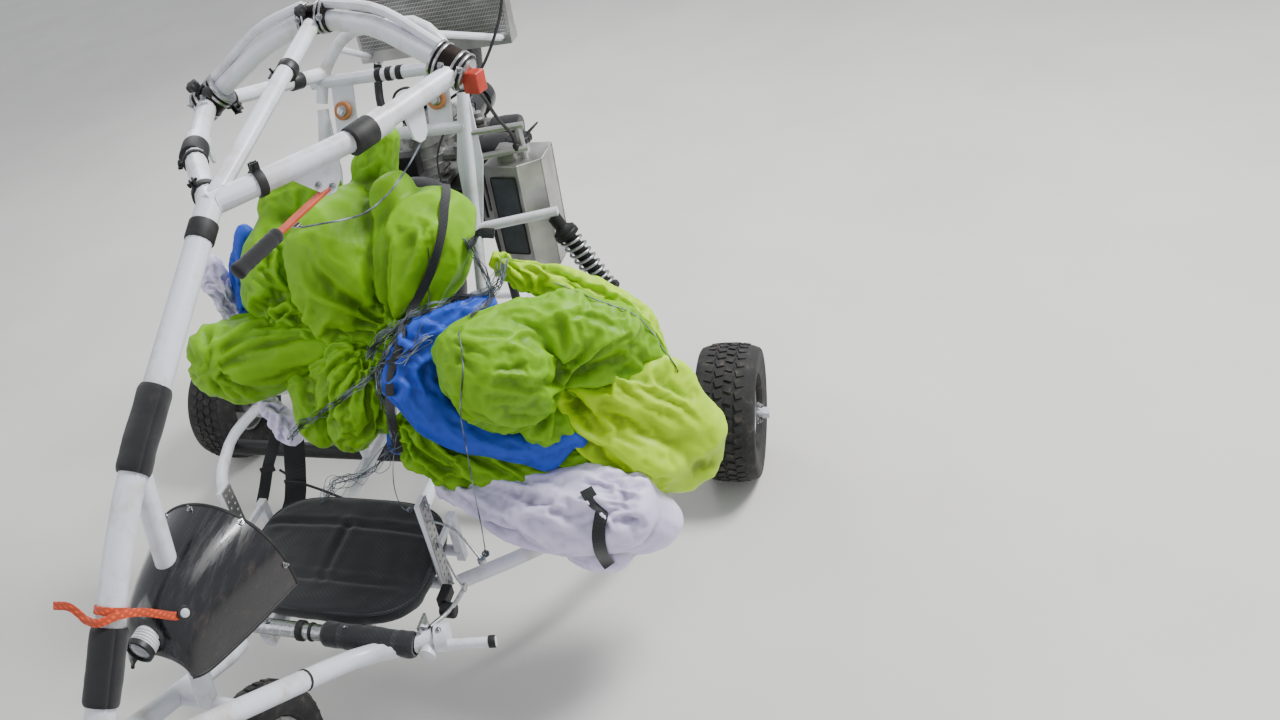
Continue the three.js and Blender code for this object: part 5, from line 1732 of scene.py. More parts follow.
def build_mast_strap():
    """Builds the webbing strap round the mast with its button on the cowl."""
    points = [(-94, -1078, 962), (-62, -1076, 962), (-40, -1080, 952), (-22, -1086, 944), (8, -1088, 944),
              (32, -1064, 940),
              (50, -1036, 920), (68, -1016, 896), (82, -998, 872), (92, -984, 862)]
    path = smooth_path(vectors(points), 8)
    ups = [Vector((-0.1, -0.8, 0.6)).lerp(Vector((0.5, -0.55, 0.8)), k / len(path))
           for k in range(len(path))]
    body = ribbon(path, 15 * MM, 2.4 * MM, ups)
    ring_run = []
    axis = (Vector(MAST_RUN[0]) - Vector(NOSE_RUN[0])).normalized()
    centre = point(0, -1047, 930)
    for k in range(45):
        a = 2 * math.pi * k / 44
        side = X_AXIS
        lift = axis.cross(side)
        ring_run.append((centre + (side * math.cos(a) + lift * math.sin(a)) * 30.2 * MM,
                         side * math.cos(a) + lift * math.sin(a)))
    loop = ribbon([p for p, _ in ring_run], 15 * MM, 2.2 * MM, [u for _, u in ring_run])
    settle(from_shells("mast_strap", [body, loop], woven_polyester("c8461c"), 40))
    button = point(94, -984, 866)
    out = (cowl_point(-984, 0.9) - cowl_point(-984, 0.9, 4)).normalized() + Vector((0.1, -0.5, 0.5))
    black = [lathe([(9, -22), (11, -3), (14, 0), (14.5, 3), (13, 5), (9.5, 5.2), (9, 3.2), (0.3, 3.2)],
                   button, out, 30)]
    settle(from_shells("strap_button", black, moulded_nylon(BLACK_NYLON)))
    white = [lathe([(8.6, 3.3), (8.6, 4.6), (6, 6.4), (0.3, 7)], button, out, 24)]
    settle(from_shells("strap_button_disc", white, moulded_nylon(PALE_NYLON)))


def build_nose_fittings():
    """Builds the bands, tabs and bolts on the crossbar, rails and steering head."""
    rubber = [sleeve(CROSSBAR_RUN, 0.455, 0.485, 25.5), sleeve(CROSSBAR_RUN, 0.515, 0.53, 23)]
    rubber += [sleeve(FRONT_RAIL_RUN, 0.0, 0.07, 27.5, 2)]
    rubber += [sleeve(RAIL_RUN, 0.722, 0.732, 24.4, 1)]
    rubber += [sleeve(left_of(PEG_RUN), 0.3, 0.98, 15.5, 3), sleeve(PEG_RUN, 0.86, 0.99, 14.2, 2)]
    settle(from_shells("front_bands", rubber, extruded_rubber()))
    metal = []
    for s in (-1, 1):
        metal.append(brick((6, 46, 58), point(s * 292, -560, 366)))
        metal.append(tube(vectors([(s * 284, -560, 372), (s * 306, -560, 372)]), 7 * MM, 6))
        link = [Vector((s * 298, -540, 352)), Vector((s * 330, -480, 352)), Vector((s * 352, -430, 372))]
        metal.append(tube(smooth_path([p * MM for p in link], 5), 5.5 * MM, 10))
        metal.append(lathe([(9, -4), (11, -3), (11, 3), (9, 4)], link[-1] * MM, X_AXIS, 20))
    settle(from_shells("front_tabs", metal, zinc_plated_steel()))
    points = [((s * 110, -600, 377), (0, 0, 1)) for s in (-1, 1)]
    points += [((s * 24, -958, 556), (s, 0, 0)) for s in (-1, 1)] + [((s * 336, -572, 378), (0, 0, 1))
                                                                     for s in (-1, 1)]
    settle(bolts("front_bolts", points, zinc_plated_steel(), 13, 7, 22))


# Wheels: body, centre, radius, width and rim radius in millimetres
WHEELS = {
    "rear_{}_left": ("rear_wheel_left", (-852, 470, 200), 200, 158, 102),
    "rear_{}_right": ("rear_wheel_right", (852, 470, 200), 200, 158, 102),
    "front_{}": ("front_wheel", (0, -935, 230), 230, 92, 156),
}


def build_tyres():
    """Builds the tyres: carcass with sidewall ribs, and rings of tread blocks."""
    tread = sizes().tread / MM
    for name, (body, centre, r, w, rim) in WHEELS.items():
        h = w / 2
        base = r - tread
        half = [(rim - 1, 0.66 * h), (rim + 1, 0.80 * h), (rim + 6, 0.87 * h), (rim + 9, 0.87 * h),
                (rim + 11, 0.91 * h),
                (0.5 * (rim + 0.82 * r), 0.97 * h), (0.80 * r, h), (0.82 * r, 1.015 * h), (0.84 * r, h),
                (0.90 * r, 0.985 * h),
                (0.905 * r, h), (0.93 * r, 0.955 * h), (0.985 * base, 0.74 * h), (0.997 * base, 0.5 * h),
                (base, 0.25 * h), (base, 0)]
        rows = [(a, -d) for a, d in half] + [(a, d) for a, d in reversed(half[:-1])]
        shell = lathe(rows, Vector(centre) * MM, X_AXIS, 96, loop=True)
        piece = from_shells(name.format("tyre") + "_carcass", [shell], tyre_rubber(), 40)
        settle(piece, body, (name.format("tyre"),))
        count = 38 if w > 100 else 46
        rings = [(-0.84, 0.93, 0.5), (-0.5, 0.988, 0.12), (-0.17, 1.0, 0), (0.17, 1.0, 0),
                 (0.5, 0.988, -0.12), (0.84, 0.93, -0.5)]
        if w < 100:
            rings = [(-0.74, 0.955, 0.5), (-0.28, 0.998, 0.05), (0.28, 0.998, -0.05), (0.74, 0.955, -0.5)]
        for k, (across, share, lean) in enumerate(rings):
            long = 2 * math.pi * r / count * 0.66
            block = (w / len(rings) * 0.78 * MM, long * MM, 1.7 * tread * MM)
            values = {"Count": count, "Radius": (r * share - 0.85 * tread) * MM, "Across": across * h * MM,
                      "Block": block,
                      "Lean": -lean * 1.2, "Skew": 0.3 * (-1) ** k, "Start": (k % 2) * math.pi / count}
            lugs = grown(f"{name.format('tread')}_{k}", lug_tree, tyre_rubber(), values,
                         place=Matrix.Translation(Vector(centre) * MM))
            rounded_edges(lugs, 1.1 * MM, 1)
            settle(lugs, body)


def build_rims():
    """Dresses the rims and adds their bolts and valves."""
    for name, (body, centre, _, w, rim) in WHEELS.items():
        dressed(name.format("rim"), sand_cast_aluminium(), 1.5 * MM)
        hub = 25 if w > 100 else 23
        rows = []
        for s in (-1, 1):
            for k in range(5):
                a = 2 * math.pi * k / 5 + 0.3
                place = (centre[0] + s * 0.45 * w, centre[1] + hub * math.cos(a),
                         centre[2] + hub * math.sin(a))
                rows.append((place, (s, 0, 0)))
            for k in range(8):
                a = 2 * math.pi * k / 8
                face = 2 if s > 0 else 12
                far = (rim + 34) / 2 + 14
                place = (centre[0] + s * face, centre[1] + far * math.cos(a), centre[2] + far * math.sin(a))
                rows.append((place, (s, 0, 0)))
        settle(bolts(name.format("wheel_bolts"), rows, zinc_plated_steel(), 10, 6, 18), body)
        valve = Vector(centre) + Vector((14, math.sin(0.9) * (rim - 19), math.cos(0.9) * (rim - 19)))
        way = Vector((0.6, -math.sin(0.9), -math.cos(0.9))).normalized()
        stem = lathe([(6, -4), (6, 4), (4, 7), (4, 20), (5, 21), (5, 29), (3.6, 30.5)],
                     valve * MM, way, 14)
        settle(from_shells(name.format("valve"), [stem], extruded_rubber()), body)


# Engine and what is bolted to it
def hose(points, diameter, per_span=8, rounded=0.0):
    """A smooth hose through points in millimetres."""
    return tube(smooth_path(vectors(points), per_span), diameter / 2 * MM, 14, rounded)


def build_engine():
    """Builds the engine's ribs, plugs and leads, carburettors, filters, coils, starter and exhaust bands."""
    dressed("crankcase", black_painted_casting(), 3 * MM)
    dressed("cylinders", sand_cast_aluminium(), 1.5 * MM)
    dressed("gearbox", sand_cast_aluminium(), 3 * MM)
    dressed("exhaust", heat_tinted_steel(), 1.5 * MM)
    ribs, leads, clamps, foam, cast = [], [], [], [], []
    for k in range(7):
        y = 660 + k * 43
        for s in (-1, 1):
            ribs.append(brick((7, 6, 150), point(s * 127, y, 785)))
    for k in range(5):
        ribs.append(brick((236, 6, 5), point(0, 633, 720 + k * 34)))
    ribs.append(lathe([(70, -56), (78, -50), (78, -44), (30, -44), (30, -52), (18, -58), (0.3, -58)],
                      (0, 0.635, 0.79), Y_AXIS, 36))
    for k in range(12):
        a = math.pi * k / 6
        ribs.append(brick((6, 6, 40), point(56 * math.sin(a), 588, 790 + 56 * math.cos(a)),
                          (X_AXIS * math.cos(a) - Z_AXIS * math.sin(a), Y_AXIS,
                           X_AXIS * math.sin(a) + Z_AXIS * math.cos(a))))
    settle(from_shells("crankcase_ribs", ribs, black_painted_casting()))
    heads = []
    for n, y in enumerate((720, 850)):
        for k in range(3):
            cast.append(lathe([(60, 0), (69, 1), (69, 4), (60, 5)], point(0, y, 925 + k * 26), Z_AXIS, 40))
        for k in range(8):
            a = math.pi * (k + 0.5) / 4
            heads.append(((60 * math.cos(a), y + 60 * math.sin(a), 1053.5), (0, 0, 1)))
        cap = [(8, 0), (10, 3), (10, 16), (13, 18), (13, 40), (10, 46), (5, 48)]
        leads.append(lathe(cap, point(-26, y, 1064), (-0.35, 0, 1), 20))
        leads.append(hose([(-42, y, 1108), (-58, y - 8, 1140), (-96, y - 30, 1132), (-128, y - 26, 1060),
                           (-140, 700 + 30 * n, 985)], 8))
        for x in (166, 214):
            clamps.append(lathe([(38, -3), (40.5, -3), (40.5, 3), (38, 3)], point(x, y, 969), X_AXIS, 30))
        foam.append(lathe([(39, 0), (44, 3), (44, 10), (42, 14), (46, 40), (47, 78), (43, 88), (12, 90)],
                          point(178, y, 969), (1, 0, -0.05), 36))
        cast.append(lathe([(18, 0), (22, 3), (22, 16), (15, 20), (15, 34), (3, 40)], point(138, y, 1001),
                          Z_AXIS, 24))
        cast.append(lathe([(20, 0), (24, 2), (24, 20), (18, 27), (6, 29)], point(138, y, 926), (0, 0, -1),
                          24))
        leads.append(hose([(138, y, 1040), (140, y - 20, 1076), (120, 660, 1080), (90, 600, 1010),
                           (100, 560, 900)], 5))
        leads.append(hose([(150, y + 28, 940), (196, y + 30, 900), (240, 680, 880), (262, 640, 850)], 7))
    settle(from_shells("plug_leads_and_pipes", leads, extruded_rubber()))
    settle(from_shells("carburettors_and_barrel_rings", cast, sand_cast_aluminium()))
    settle(from_shells("hose_clamps", clamps, zinc_plated_steel()))
    settle(from_shells("intake_filters", foam, closed_cell_foam()))
    heads += [((s * 66, 951 + 104.5, 730 + 66 * t), (0, 1, 0)) for s in (-1, 1) for t in (0, 2)]
    heads += [((62 * math.cos(a), 1036, 930 + 62 * math.sin(a)), (0, 1, 0)) for a in (0.3, 1.35, 2.4, 3.45,
                                                                                      4.5, 5.55)]
    heads += [((s * 100, y, 696), (0, 0, 1)) for s in (-1, 1) for y in (680, 900)]
    settle(bolts("engine_bolts", heads, zinc_plated_steel(), 10, 7, 16))
    boxes = [brick((92, 46, 66), point(0, 566, 1010)), brick((60, 50, 44), point(-140, 714, 1000)),
             lathe([(0.3, -70), (30, -70), (34, -64), (34, 40), (26, 46), (14, 48), (14, 70), (0.3, 70)],
                   (-0.15, 0.9, 0.75), Y_AXIS, 30)]
    units = from_shells("coil_units_and_starter", boxes, black_painted_casting())
    rounded_edges(units, 3 * MM, 2)
    settle(units)
    pipe = []
    for y in (663, 967):
        pipe.append(lathe([(66, -9), (69.5, -8), (69.5, 8), (66, 9)],
                          point(-214, y + (3 if y < 800 else -3), 640), Y_AXIS, 40))
    for z in (800, 745):
        pipe.append(lathe([(27, -6), (31, -5), (31, 5), (27, 6)], point(-214, 785, z), Z_AXIS, 30))
    pipe.append(lathe([(18, 0), (21.5, 0), (21.5, 6), (18, 6)], point(-214, 1044, 627), (0, 1, -0.2), 24))
    settle(from_shells("exhaust_bands", pipe, zinc_plated_steel()))
    for k, (x, z) in enumerate(((-240, 770), (-188, 770))):
        turn = Matrix.Translation(point(x, 785, z - 20))
        spring = grown(f"exhaust_spring_{k}", coil_tree, zinc_plated_steel(),
                       {"Turns": 11.0, "Radius": 0.0052, "Height": 0.05, "Wire": 0.0018}, place=turn,
                       sharp_degrees=60)
        settle(spring)


def build_radiator():
    """Builds the radiator's fins, flat tubes, hoses and cap."""
    dressed("radiator", brushed_aluminium_sheet(), 2.5 * MM)
    start = Matrix.Translation((-0.238, 1.0, 1.345))
    fins = grown("radiator_fins", slat_tree, black_painted_casting(),
                 {"Count": 96, "Step": (0.00501, 0, 0), "Slat": (0.0009, 0.0535, 0.234)}, place=start)
    settle(fins)
    flats = grown("radiator_tubes", slat_tree, brushed_aluminium_sheet(),
                  {"Count": 20, "Step": (0, 0, 0.0118), "Slat": (0.494, 0.0548, 0.0022)},
                  place=Matrix.Translation((0, 1.0, 1.233)))
    settle(flats)
    cap = [lathe([(15, 0), (23, 1), (25, 4), (25, 14), (23, 17), (9, 19), (0.3, 19)], (0.14, 1.0, 1.511),
                 Z_AXIS, 30)]
    cap.append(brick((58, 10, 5), (0.14, 1.0, 1.527)))
    settle(rounded_edges(from_shells("radiator_cap", cap, brushed_aluminium_sheet()), 1.2 * MM))
    rubber = [hose([(-200, 1000, 1196), (-214, 990, 1160), (-190, 900, 1080), (-150, 850, 1000),
                    (-120, 850, 960)], 27)]
    rubber.append(hose([(214, 1000, 1480), (262, 985, 1470), (268, 960, 1420), (250, 900, 1290),
                        (180, 820, 1160), (70, 780, 1100)], 9))
    settle(from_shells("coolant_hoses", rubber, extruded_rubber()))
    bands = []
    for at, way, r in (((-208, 997, 1180), (-0.3, -0.3, -1), 14), ((-128, 850, 970), (0.5, 0, -1), 14),
                       ((60, 990, 1180), (0, -0.2, -1), 15.5), ((4, 856, 1112), (-0.5, -0.6, -0.5), 15.5)):
        bands.append(lathe([(r, -5), (r + 1.6, -5), (r + 1.6, 5), (r, 5)], Vector(at) * MM, way, 26))
    settle(from_shells("coolant_bands", bands, zinc_plated_steel()))
    rows = [((s * 225, 968, z), (0, -1, 0)) for s in (-1, 1) for z in (1208, 1490)]
    settle(bolts("radiator_bolts", rows, zinc_plated_steel(), 8, 5, 16))


def build_tank():
    """Builds the tank's dark window, weld seams and cap, and the fittings above it."""
    dressed("fuel_tank", brushed_aluminium_sheet(), 3 * MM)
    plan = [(241, 548), (343, 528), (404, 566), (408, 668), (262, 690)]
    low, high = 663, 993
    middle = Vector((sum(x for x, _ in plan) / 5, sum(y for _, y in plan) / 5, 0))
    seams = []
    corners = [Vector((x, y, 0)) for x, y in plan]
    for level in (low, high):
        loop = [point(p.x, p.y, level) for p in corners + corners[:1]]
        outs = [((p - middle).normalized() + Z_AXIS * (1 if level == high else -1)).normalized()
                for p in corners + corners[:1]]
        seams.append((loop, outs))
    for p in corners:
        out = (p - middle).normalized()
        seams.append(([point(p.x, p.y, z) for z in (low, high)], [out, out]))
    seam = row("tank_welds", seams, brushed_aluminium_sheet(), 4.4 * MM, (5.2 * MM, 6.5 * MM, 2.4 * MM))
    settle(seam)
    a, b = corners[0], corners[1]
    across = (b - a).normalized()
    face = Vector((across.y, -across.x, 0))
    at = (a + b) / 2 + face * 1.6 + Vector((2, 0, 838))
    panel = [flat_plate([(-36 * MM, -118 * MM), (36 * MM, -118 * MM), (36 * MM, 118 * MM),
                         (-36 * MM, 118 * MM)], 3 * MM,
                        at * MM, across, Z_AXIS)]
    settle(rounded_edges(from_shells("tank_window", panel, moulded_nylon("3a3f45")), 1.2 * MM))
    border = [at + across * x + Z_AXIS * z + face * 0.6 for x, z in ((-38, -120), (38, -120), (38, 120),
                                                                     (-38, 120), (-38, -120))]
    frame_line = [tube(bent_path([p * MM for p in border], 5 * MM, 4), 2.4 * MM, 8)]
    settle(from_shells("tank_window_frame", frame_line, extruded_rubber()))
    cap = [lathe([(26, 0), (34, 1), (36, 4), (36, 15), (33, 19), (12, 21), (0.3, 21)], (0.33, 0.63, 1.02),
                 Z_AXIS, 36)]
    for k in range(18):
        t = math.pi * k / 9
        cap.append(brick((3, 4, 14), (0.33 + 0.036 * math.cos(t), 0.63 + 0.036 * math.sin(t), 1.0295),
                         (X_AXIS * math.cos(t) + Y_AXIS * math.sin(t),
                          Y_AXIS * math.cos(t) - X_AXIS * math.sin(t), Z_AXIS)))
    settle(rounded_edges(from_shells("tank_cap", cap, moulded_nylon("1c1d1f")), 0.8 * MM))
    red = [brick((44, 36, 50), point(392, 232, 1352),
                 (Vector((0.94, -0.34, 0)), Vector((0.34, 0.94, 0)), Z_AXIS))]
    settle(rounded_edges(from_shells("red_switch_block", red, moulded_nylon("b5321f")), 4 * MM, 3))
    rod_points = [(386, 246, 1330), (378, 300, 1290), (366, 400, 1190), (350, 520, 1094), (344, 556, 1040)]
    rods = [hose(rod_points, 9), lathe([(5, -8), (9, -6), (9, 10), (6, 12)], point(344, 556, 1036), Z_AXIS,
                                       16)]
    rods.append(hose([(372, 566, 1062), (396, 600, 1080), (380, 650, 1060), (352, 640, 1040)], 6))
    settle(from_shells("switch_cable_and_vent", rods, extruded_rubber()))


def build_struts():
    """Builds the rear spring struts: damper body, rod, spring seats and the wound spring."""
    for side, s in (("left", -1), ("right", 1)):
        top, foot = vectors([(s * 434, 490, 852), (s * 734, 478, 262)])
        length = (foot - top).length / MM
        way = (foot - top).normalized()
        rows = [(4, -0.004), (17, -0.002), (18, 0.0), (18, 0.05), (24, 0.06), (32, 0.068), (32, 0.078),
                (34, 0.082), (34, 0.1), (20, 0.104),
                (19, 0.108), (19, 0.38), (33, 0.384), (34, 0.388), (34, 0.40), (31, 0.404), (20, 0.407),
                (19, 0.43), (12, 0.436), (11, 0.44),
                (11, 0.965)]
        damper = from_shells("damper_" + side, [lathe([(r, d * length) for r, d in rows], top, way, 28)],
                             black_painted_casting())
        settle(damper, "frame", ("coil_strut_" + side,))
        start, end = top + way * (0.104 * length * MM), top + way * (0.384 * length * MM)
        turn = Matrix.Translation(start) @ way.to_track_quat("Z", "Y").to_matrix().to_4x4()
        spring = grown("spring_" + side, coil_tree, zinc_plated_steel(),
                       {"Turns": 8.5, "Radius": 0.0275, "Height": (end - start).length, "Wire": 0.0085},
                       place=turn, sharp_degrees=60)
        settle(spring)


# Columns are radius, chord, thickness and twist in degrees, in millimetres
BLADE = ((40, 62, 34, 40), (120, 92, 24, 32), (260, 112, 16, 22), (430, 96, 11, 15), (560, 66, 8, 11),
         (608, 42, 6, 9), (620, 26, 4, 9))


# The middle of the propeller's hub, in millimetres
PROPELLER_Y = 1236
PROPELLER_Z = 930


def build_propeller():
    """Builds the two-bladed propeller: smooth blades, hub plates and bolts."""
    shells = []
    stations = smooth_path([Vector((r, chord, thick)) for r, chord, thick, _ in BLADE], 7)
    around = 28
    for turn in (1, -1):
        verts = []
        for k, row_now in enumerate(stations):
            i = min(k // 7, len(BLADE) - 2)
            t = (row_now.x - BLADE[i][0]) / max(1e-6, BLADE[i + 1][0] - BLADE[i][0])
            twist = math.radians(BLADE[i][3] + (BLADE[i + 1][3] - BLADE[i][3]) * t)
            for j in range(around):
                a = 2 * math.pi * j / around
                u = row_now.y / 2 * math.cos(a)
                v = row_now.z / 2 * math.sin(a) * (1 + 0.35 * math.cos(a))
                x = u * math.cos(twist) - v * math.sin(twist)
                y = u * math.sin(twist) + v * math.cos(twist)
                verts.append(point(x * turn, PROPELLER_Y + y, PROPELLER_Z + row_now.x * turn))
        shells.append((verts, closed_faces(len(stations), around)))
    hub = [(20.9, -153), (46, -153), (48, -150), (48, -28), (58, -28), (60, -25), (60, 25), (57, 27),
           (46, 29), (44, 40), (41, 42),
           (20, 42), (18, 38), (18, -100), (20.9, -100)]
    shells.append(lathe(hub, point(0, PROPELLER_Y, PROPELLER_Z), Y_AXIS, 48, loop=True))
    piece = from_shells("propeller_blades", shells, carbon_composite(), 45)
    settle(piece, "propeller", ("propeller",))
    rows = [((48 * math.cos(a), PROPELLER_Y + 27, PROPELLER_Z + 48 * math.sin(a)), (0, 1, 0))
            for a in [math.pi * k / 3 + 0.2 for k in range(6)]]
    settle(bolts("propeller_bolts", rows, zinc_plated_steel(), 9, 5, 14), "propeller")


# Seats, lever and harness
def power_of(value, power):
    """A signed power, for rounded box shapes."""
    return math.copysign(abs(value) ** power, value)


def plumped(centre, radii, power, tilt, around=120, up=60):
    """A rounded box shape: vertices and faces in metres, from a centre and half sizes in millimetres."""
    turn = Matrix.Rotation(tilt, 3, "X")
    verts = []
    for k in range(1, up):
        v = math.pi * (k / up - 0.5)
        for j in range(around):
            u = 2 * math.pi * j / around
            p = Vector((power_of(math.cos(v), power) * power_of(math.cos(u), power) * radii[0],
                        power_of(math.cos(v), power) * power_of(math.sin(u), power) * radii[1],
                        power_of(math.sin(v), power) * radii[2]))
            verts.append((Vector(centre) + turn @ p) * MM)
    return verts, closed_faces(up - 1, around)


def upholstered(name, shells, seams, stands_for, skin, wrinkle=3.0):
    """A padded cloth piece: seams are drawn in, wrinkles raised, and the cover is relaxed by simulation."""
    piece = from_shells(name, shells, woven_polyester(BLACK_CLOTH), None)
    mesh = remeshed(name, piece.data.copy(), skin)
    piece.data = mesh
    mesh.materials.append(woven_polyester(BLACK_CLOTH))
    places, normals, _ = mesh_arrays(mesh)
    moved = np.zeros(len(places))
    for k, p in enumerate(places):
        at = Vector(p)
        crest = 1 - 2 * abs(noise.noise(Vector((at.x * 7, at.y * 16, at.z * 16))))
        moved[k] = crest * wrinkle * 0.6 + noise.noise(at * 30) * wrinkle * 0.4
        for a, b in seams:
            a, b = Vector(a) * MM, Vector(b) * MM
            t = max(0, min(1, (at - a).dot(b - a) / (b - a).length_squared))
            gap = (at - a.lerp(b, t)).length / MM
            moved[k] -= 7 * math.exp(-((gap / 9) ** 2)) - 2.2 * math.exp(-(((gap - 20) / 9) ** 2))
    fresh = places + normals * (moved * MM)[:, None]
    mesh.vertices.foreach_set("co", fresh.ravel())
    mesh.update()
    crumple(piece, 0.12, 0.006, 10)
    refined(piece)
    settle(piece, "frame", (stands_for,))
    return piece


# How square the front pad is in plan: 1 is round and 0 is a box
PAD_POWER = 0.55


def build_front_seat():
    """Builds the front seat pad with its piping, and the padded roll on the crossbar."""
    seams = [((-236, -470, 409), (236, -470, 409)), ((-236, -300, 409), (236, -300, 409)),
             ((0, -470, 412), (0, -300, 412)),
             ((-236, -470, 330), (236, -470, 330))]
    upholstered("front_seat_pad", [plumped((0, -372, 372), (258, 186, 36), PAD_POWER, 0.05)], seams,
                "front_seat", 7.5 * MM)
    edge = []
    for k in range(73):
        a = 2 * math.pi * k / 72
        x = power_of(math.cos(a), PAD_POWER) * 257
        y = power_of(math.sin(a), PAD_POWER) * 185
        edge.append(point(x, -372 + y, 372 + 0.05 * y + 17))
    settle(from_shells("front_seat_piping", [tube(edge, 3.6 * MM, 10)], woven_polyester(DARK_PIPING)))
    verts = []
    run = [point(46 + 238 * k / 60, -600, 355) for k in range(61)]
    for k, centre in enumerate(run):
        for j in range(40):
            a = 2 * math.pi * j / 40
            x = centre.x / MM
            tied = sum(math.exp(-(((x - at) / 5) ** 2)) for at in (96, 236))
            end = 5 * math.exp(-(((x - 46) / 4) ** 2)) + 5 * math.exp(-(((x - 284) / 4) ** 2))
            r = 30.5 - 3.5 * tied - end + 1.6 * noise.noise(Vector((x * 0.05, math.cos(a) * 2.4,
                                                                    math.sin(a) * 2.4)))
            verts.append(centre + Vector((0, math.cos(a), math.sin(a))) * r * MM)
    roll = from_shells("front_roll_cover", [(verts, closed_faces(61, 40))], woven_polyester(BLACK_CLOTH),
                       50)
    settle(roll, "frame", ("front_roll",))
    ties = [sleeve(((x - 8, -600, 355), (x + 8, -600, 355)), 0, 1, 29.5, 1, 40) for x in (96, 236)]
    settle(from_shells("front_roll_ties", ties, woven_polyester(DARK_PIPING)))


def build_rear_seat():
    """Builds the rear seat's pan and back in quilted cloth."""
    shells = [plumped((0, 180, 616), (205, 165, 38), 0.5, -0.06),
              plumped((0, 372, 812), (190, 36, 230), 0.5, -0.34)]
    seams = [((-190, 120, 650), (190, 120, 650)), ((-190, 220, 644), (190, 220, 644))]
    for z, y in ((700, 300), (790, 332), (880, 362), (960, 390)):
        seams.append(((-176, y, z), (176, y, z)))
        seams.append(((-176, y + 72, z + 16), (176, y + 72, z + 16)))
    upholstered("rear_seat_cover", shells, seams, "rear_seat", 9 * MM, 2.4)


def build_lever():
    """Builds the control lever: flat arm, foam grip, pivot, buckle and the cord to the frame."""
    top, foot = vectors([(157, -129, 1292), (52, -428, 1250)])
    way = (foot - top).normalized()
    across = Vector((0.94, -0.33, 0)).normalized()
    face = way.cross(across).normalized()
    length = (foot - top).length
    outline = [(-12, -12), (-7, -15), (7, -15), (12, -10), (11, 60), (10, 196), (-10, 196), (-11, 60)]
    arm = flat_plate([(a * MM, b * MM) for a, b in outline], 9 * MM, top + way * 12 * MM, across, way)
    piece = rounded_edges(from_shells("lever_arm", [arm], moulded_nylon("c04a24")), 2.4 * MM, 3)
    settle(piece, "frame", ("lever",))
    grip = [(6, 0), (13, 1), (16.5, 5), (17.5, 12), (16, 18)]
    grip += [(16.4 + 1.2 * (k % 2), 20 + k * 8) for k in range(11)] + [(17.5, 110), (19, 118), (18, 124),
                                                                       (12, 128), (2, 129)]
    scale = (length / MM - 0.56 * length / MM) / 129
    rows = [(r, d * scale) for r, d in grip]
    settle(from_shells("lever_grip", [lathe(rows, top + way * (0.56 * length), way, 28)],
                       closed_cell_foam(), 60))
    metal = [lathe([(2, -13), (7, -12), (7, 12), (2, 13)], top + way * 8 * MM, face, 24)]
    at = top + way * (0.42 * length) + face * -6 * MM
    metal.append(brick((26, 16, 4), at - face * 6 * MM, (across, way, face)))
    metal.append(tube([at - face * 9 * MM - across * 16 * MM, at - face * 9 * MM + across * 20 * MM],
                      3 * MM, 10))
    settle(rounded_edges(from_shells("lever_pivot_and_buckle", metal, zinc_plated_steel()), 0.8 * MM))
    end = at - face * 9 * MM + across * 20 * MM
    path = smooth_path([Vector((0.286, 0.088, 1.272)), Vector((0.262, 0.03, 1.238)),
                        Vector((0.232, -0.05, 1.212)),
                        Vector((0.2, -0.13, 1.212)), end + Vector((0.018, 0.03, -0.012)), end], 12)
    cord = from_shells("lever_cord", [tube(path, 2.2 * MM, 12)], braided_line(), 60)
    settle(cord)


def build_seat_plates():
    """Builds the perforated plates on the seat uprights, with their bolts and link rods."""
    axes = Matrix(((0, 0, 1, 0), (1, 0, 0, 0), (0, 1, 0, 0), (0, 0, 0, 1)))
    for k, x in enumerate((-280.6, -267.4, 267.4, 280.6)):
        plate = grown(f"perforated_plate_{k}", perforated_tree, brushed_aluminium_sheet(),
                      {"Plate": (0.04, 0.292, 0.0024), "Columns": 2, "Rows": 13, "Field": (0.02, 0.26, 0),
                       "Hole": 0.0085},
                      place=Matrix.Translation(point(x, -374, 446)) @ axes)
        settle(rounded_edges(plate, 0.4 * MM, 1))
    rows = [((s * 282.4, -374, z), (s, 0, 0)) for s in (-1, 1) for z in (318, 446, 578)]
    settle(bolts("seat_plate_bolts", rows, zinc_plated_steel(), 10, 6, 18))
    rods = []
    for s in (-1, 1):
        rods.append(hose([(s * 284, -366, 520), (s * 340, -372, 500), (s * 408, -414, 452)], 6))
        rods.append(hose([(s * 284, -372, 470), (s * 330, -420, 400), (s * 352, -430, 376)], 5))
        rods.append(lathe([(7, -6), (10, -5), (10, 5), (7, 6)], point(s * 408, -414, 452), Z_AXIS, 20))
    settle(from_shells("seat_link_rods", rods, zinc_plated_steel()))
    black = [brick((26, 52, 30), point(s * 300, -440, 346)) for s in (-1, 1)]
    black += [lathe([(6, -20), (17, -19), (19, -14), (19, 14), (17, 19), (6, 20)],
                    point(s * 318, -474, 338),
                    X_AXIS, 28) for s in (-1, 1)]
    settle(rounded_edges(from_shells("seat_latches", black, black_painted_casting()), 3 * MM, 2))


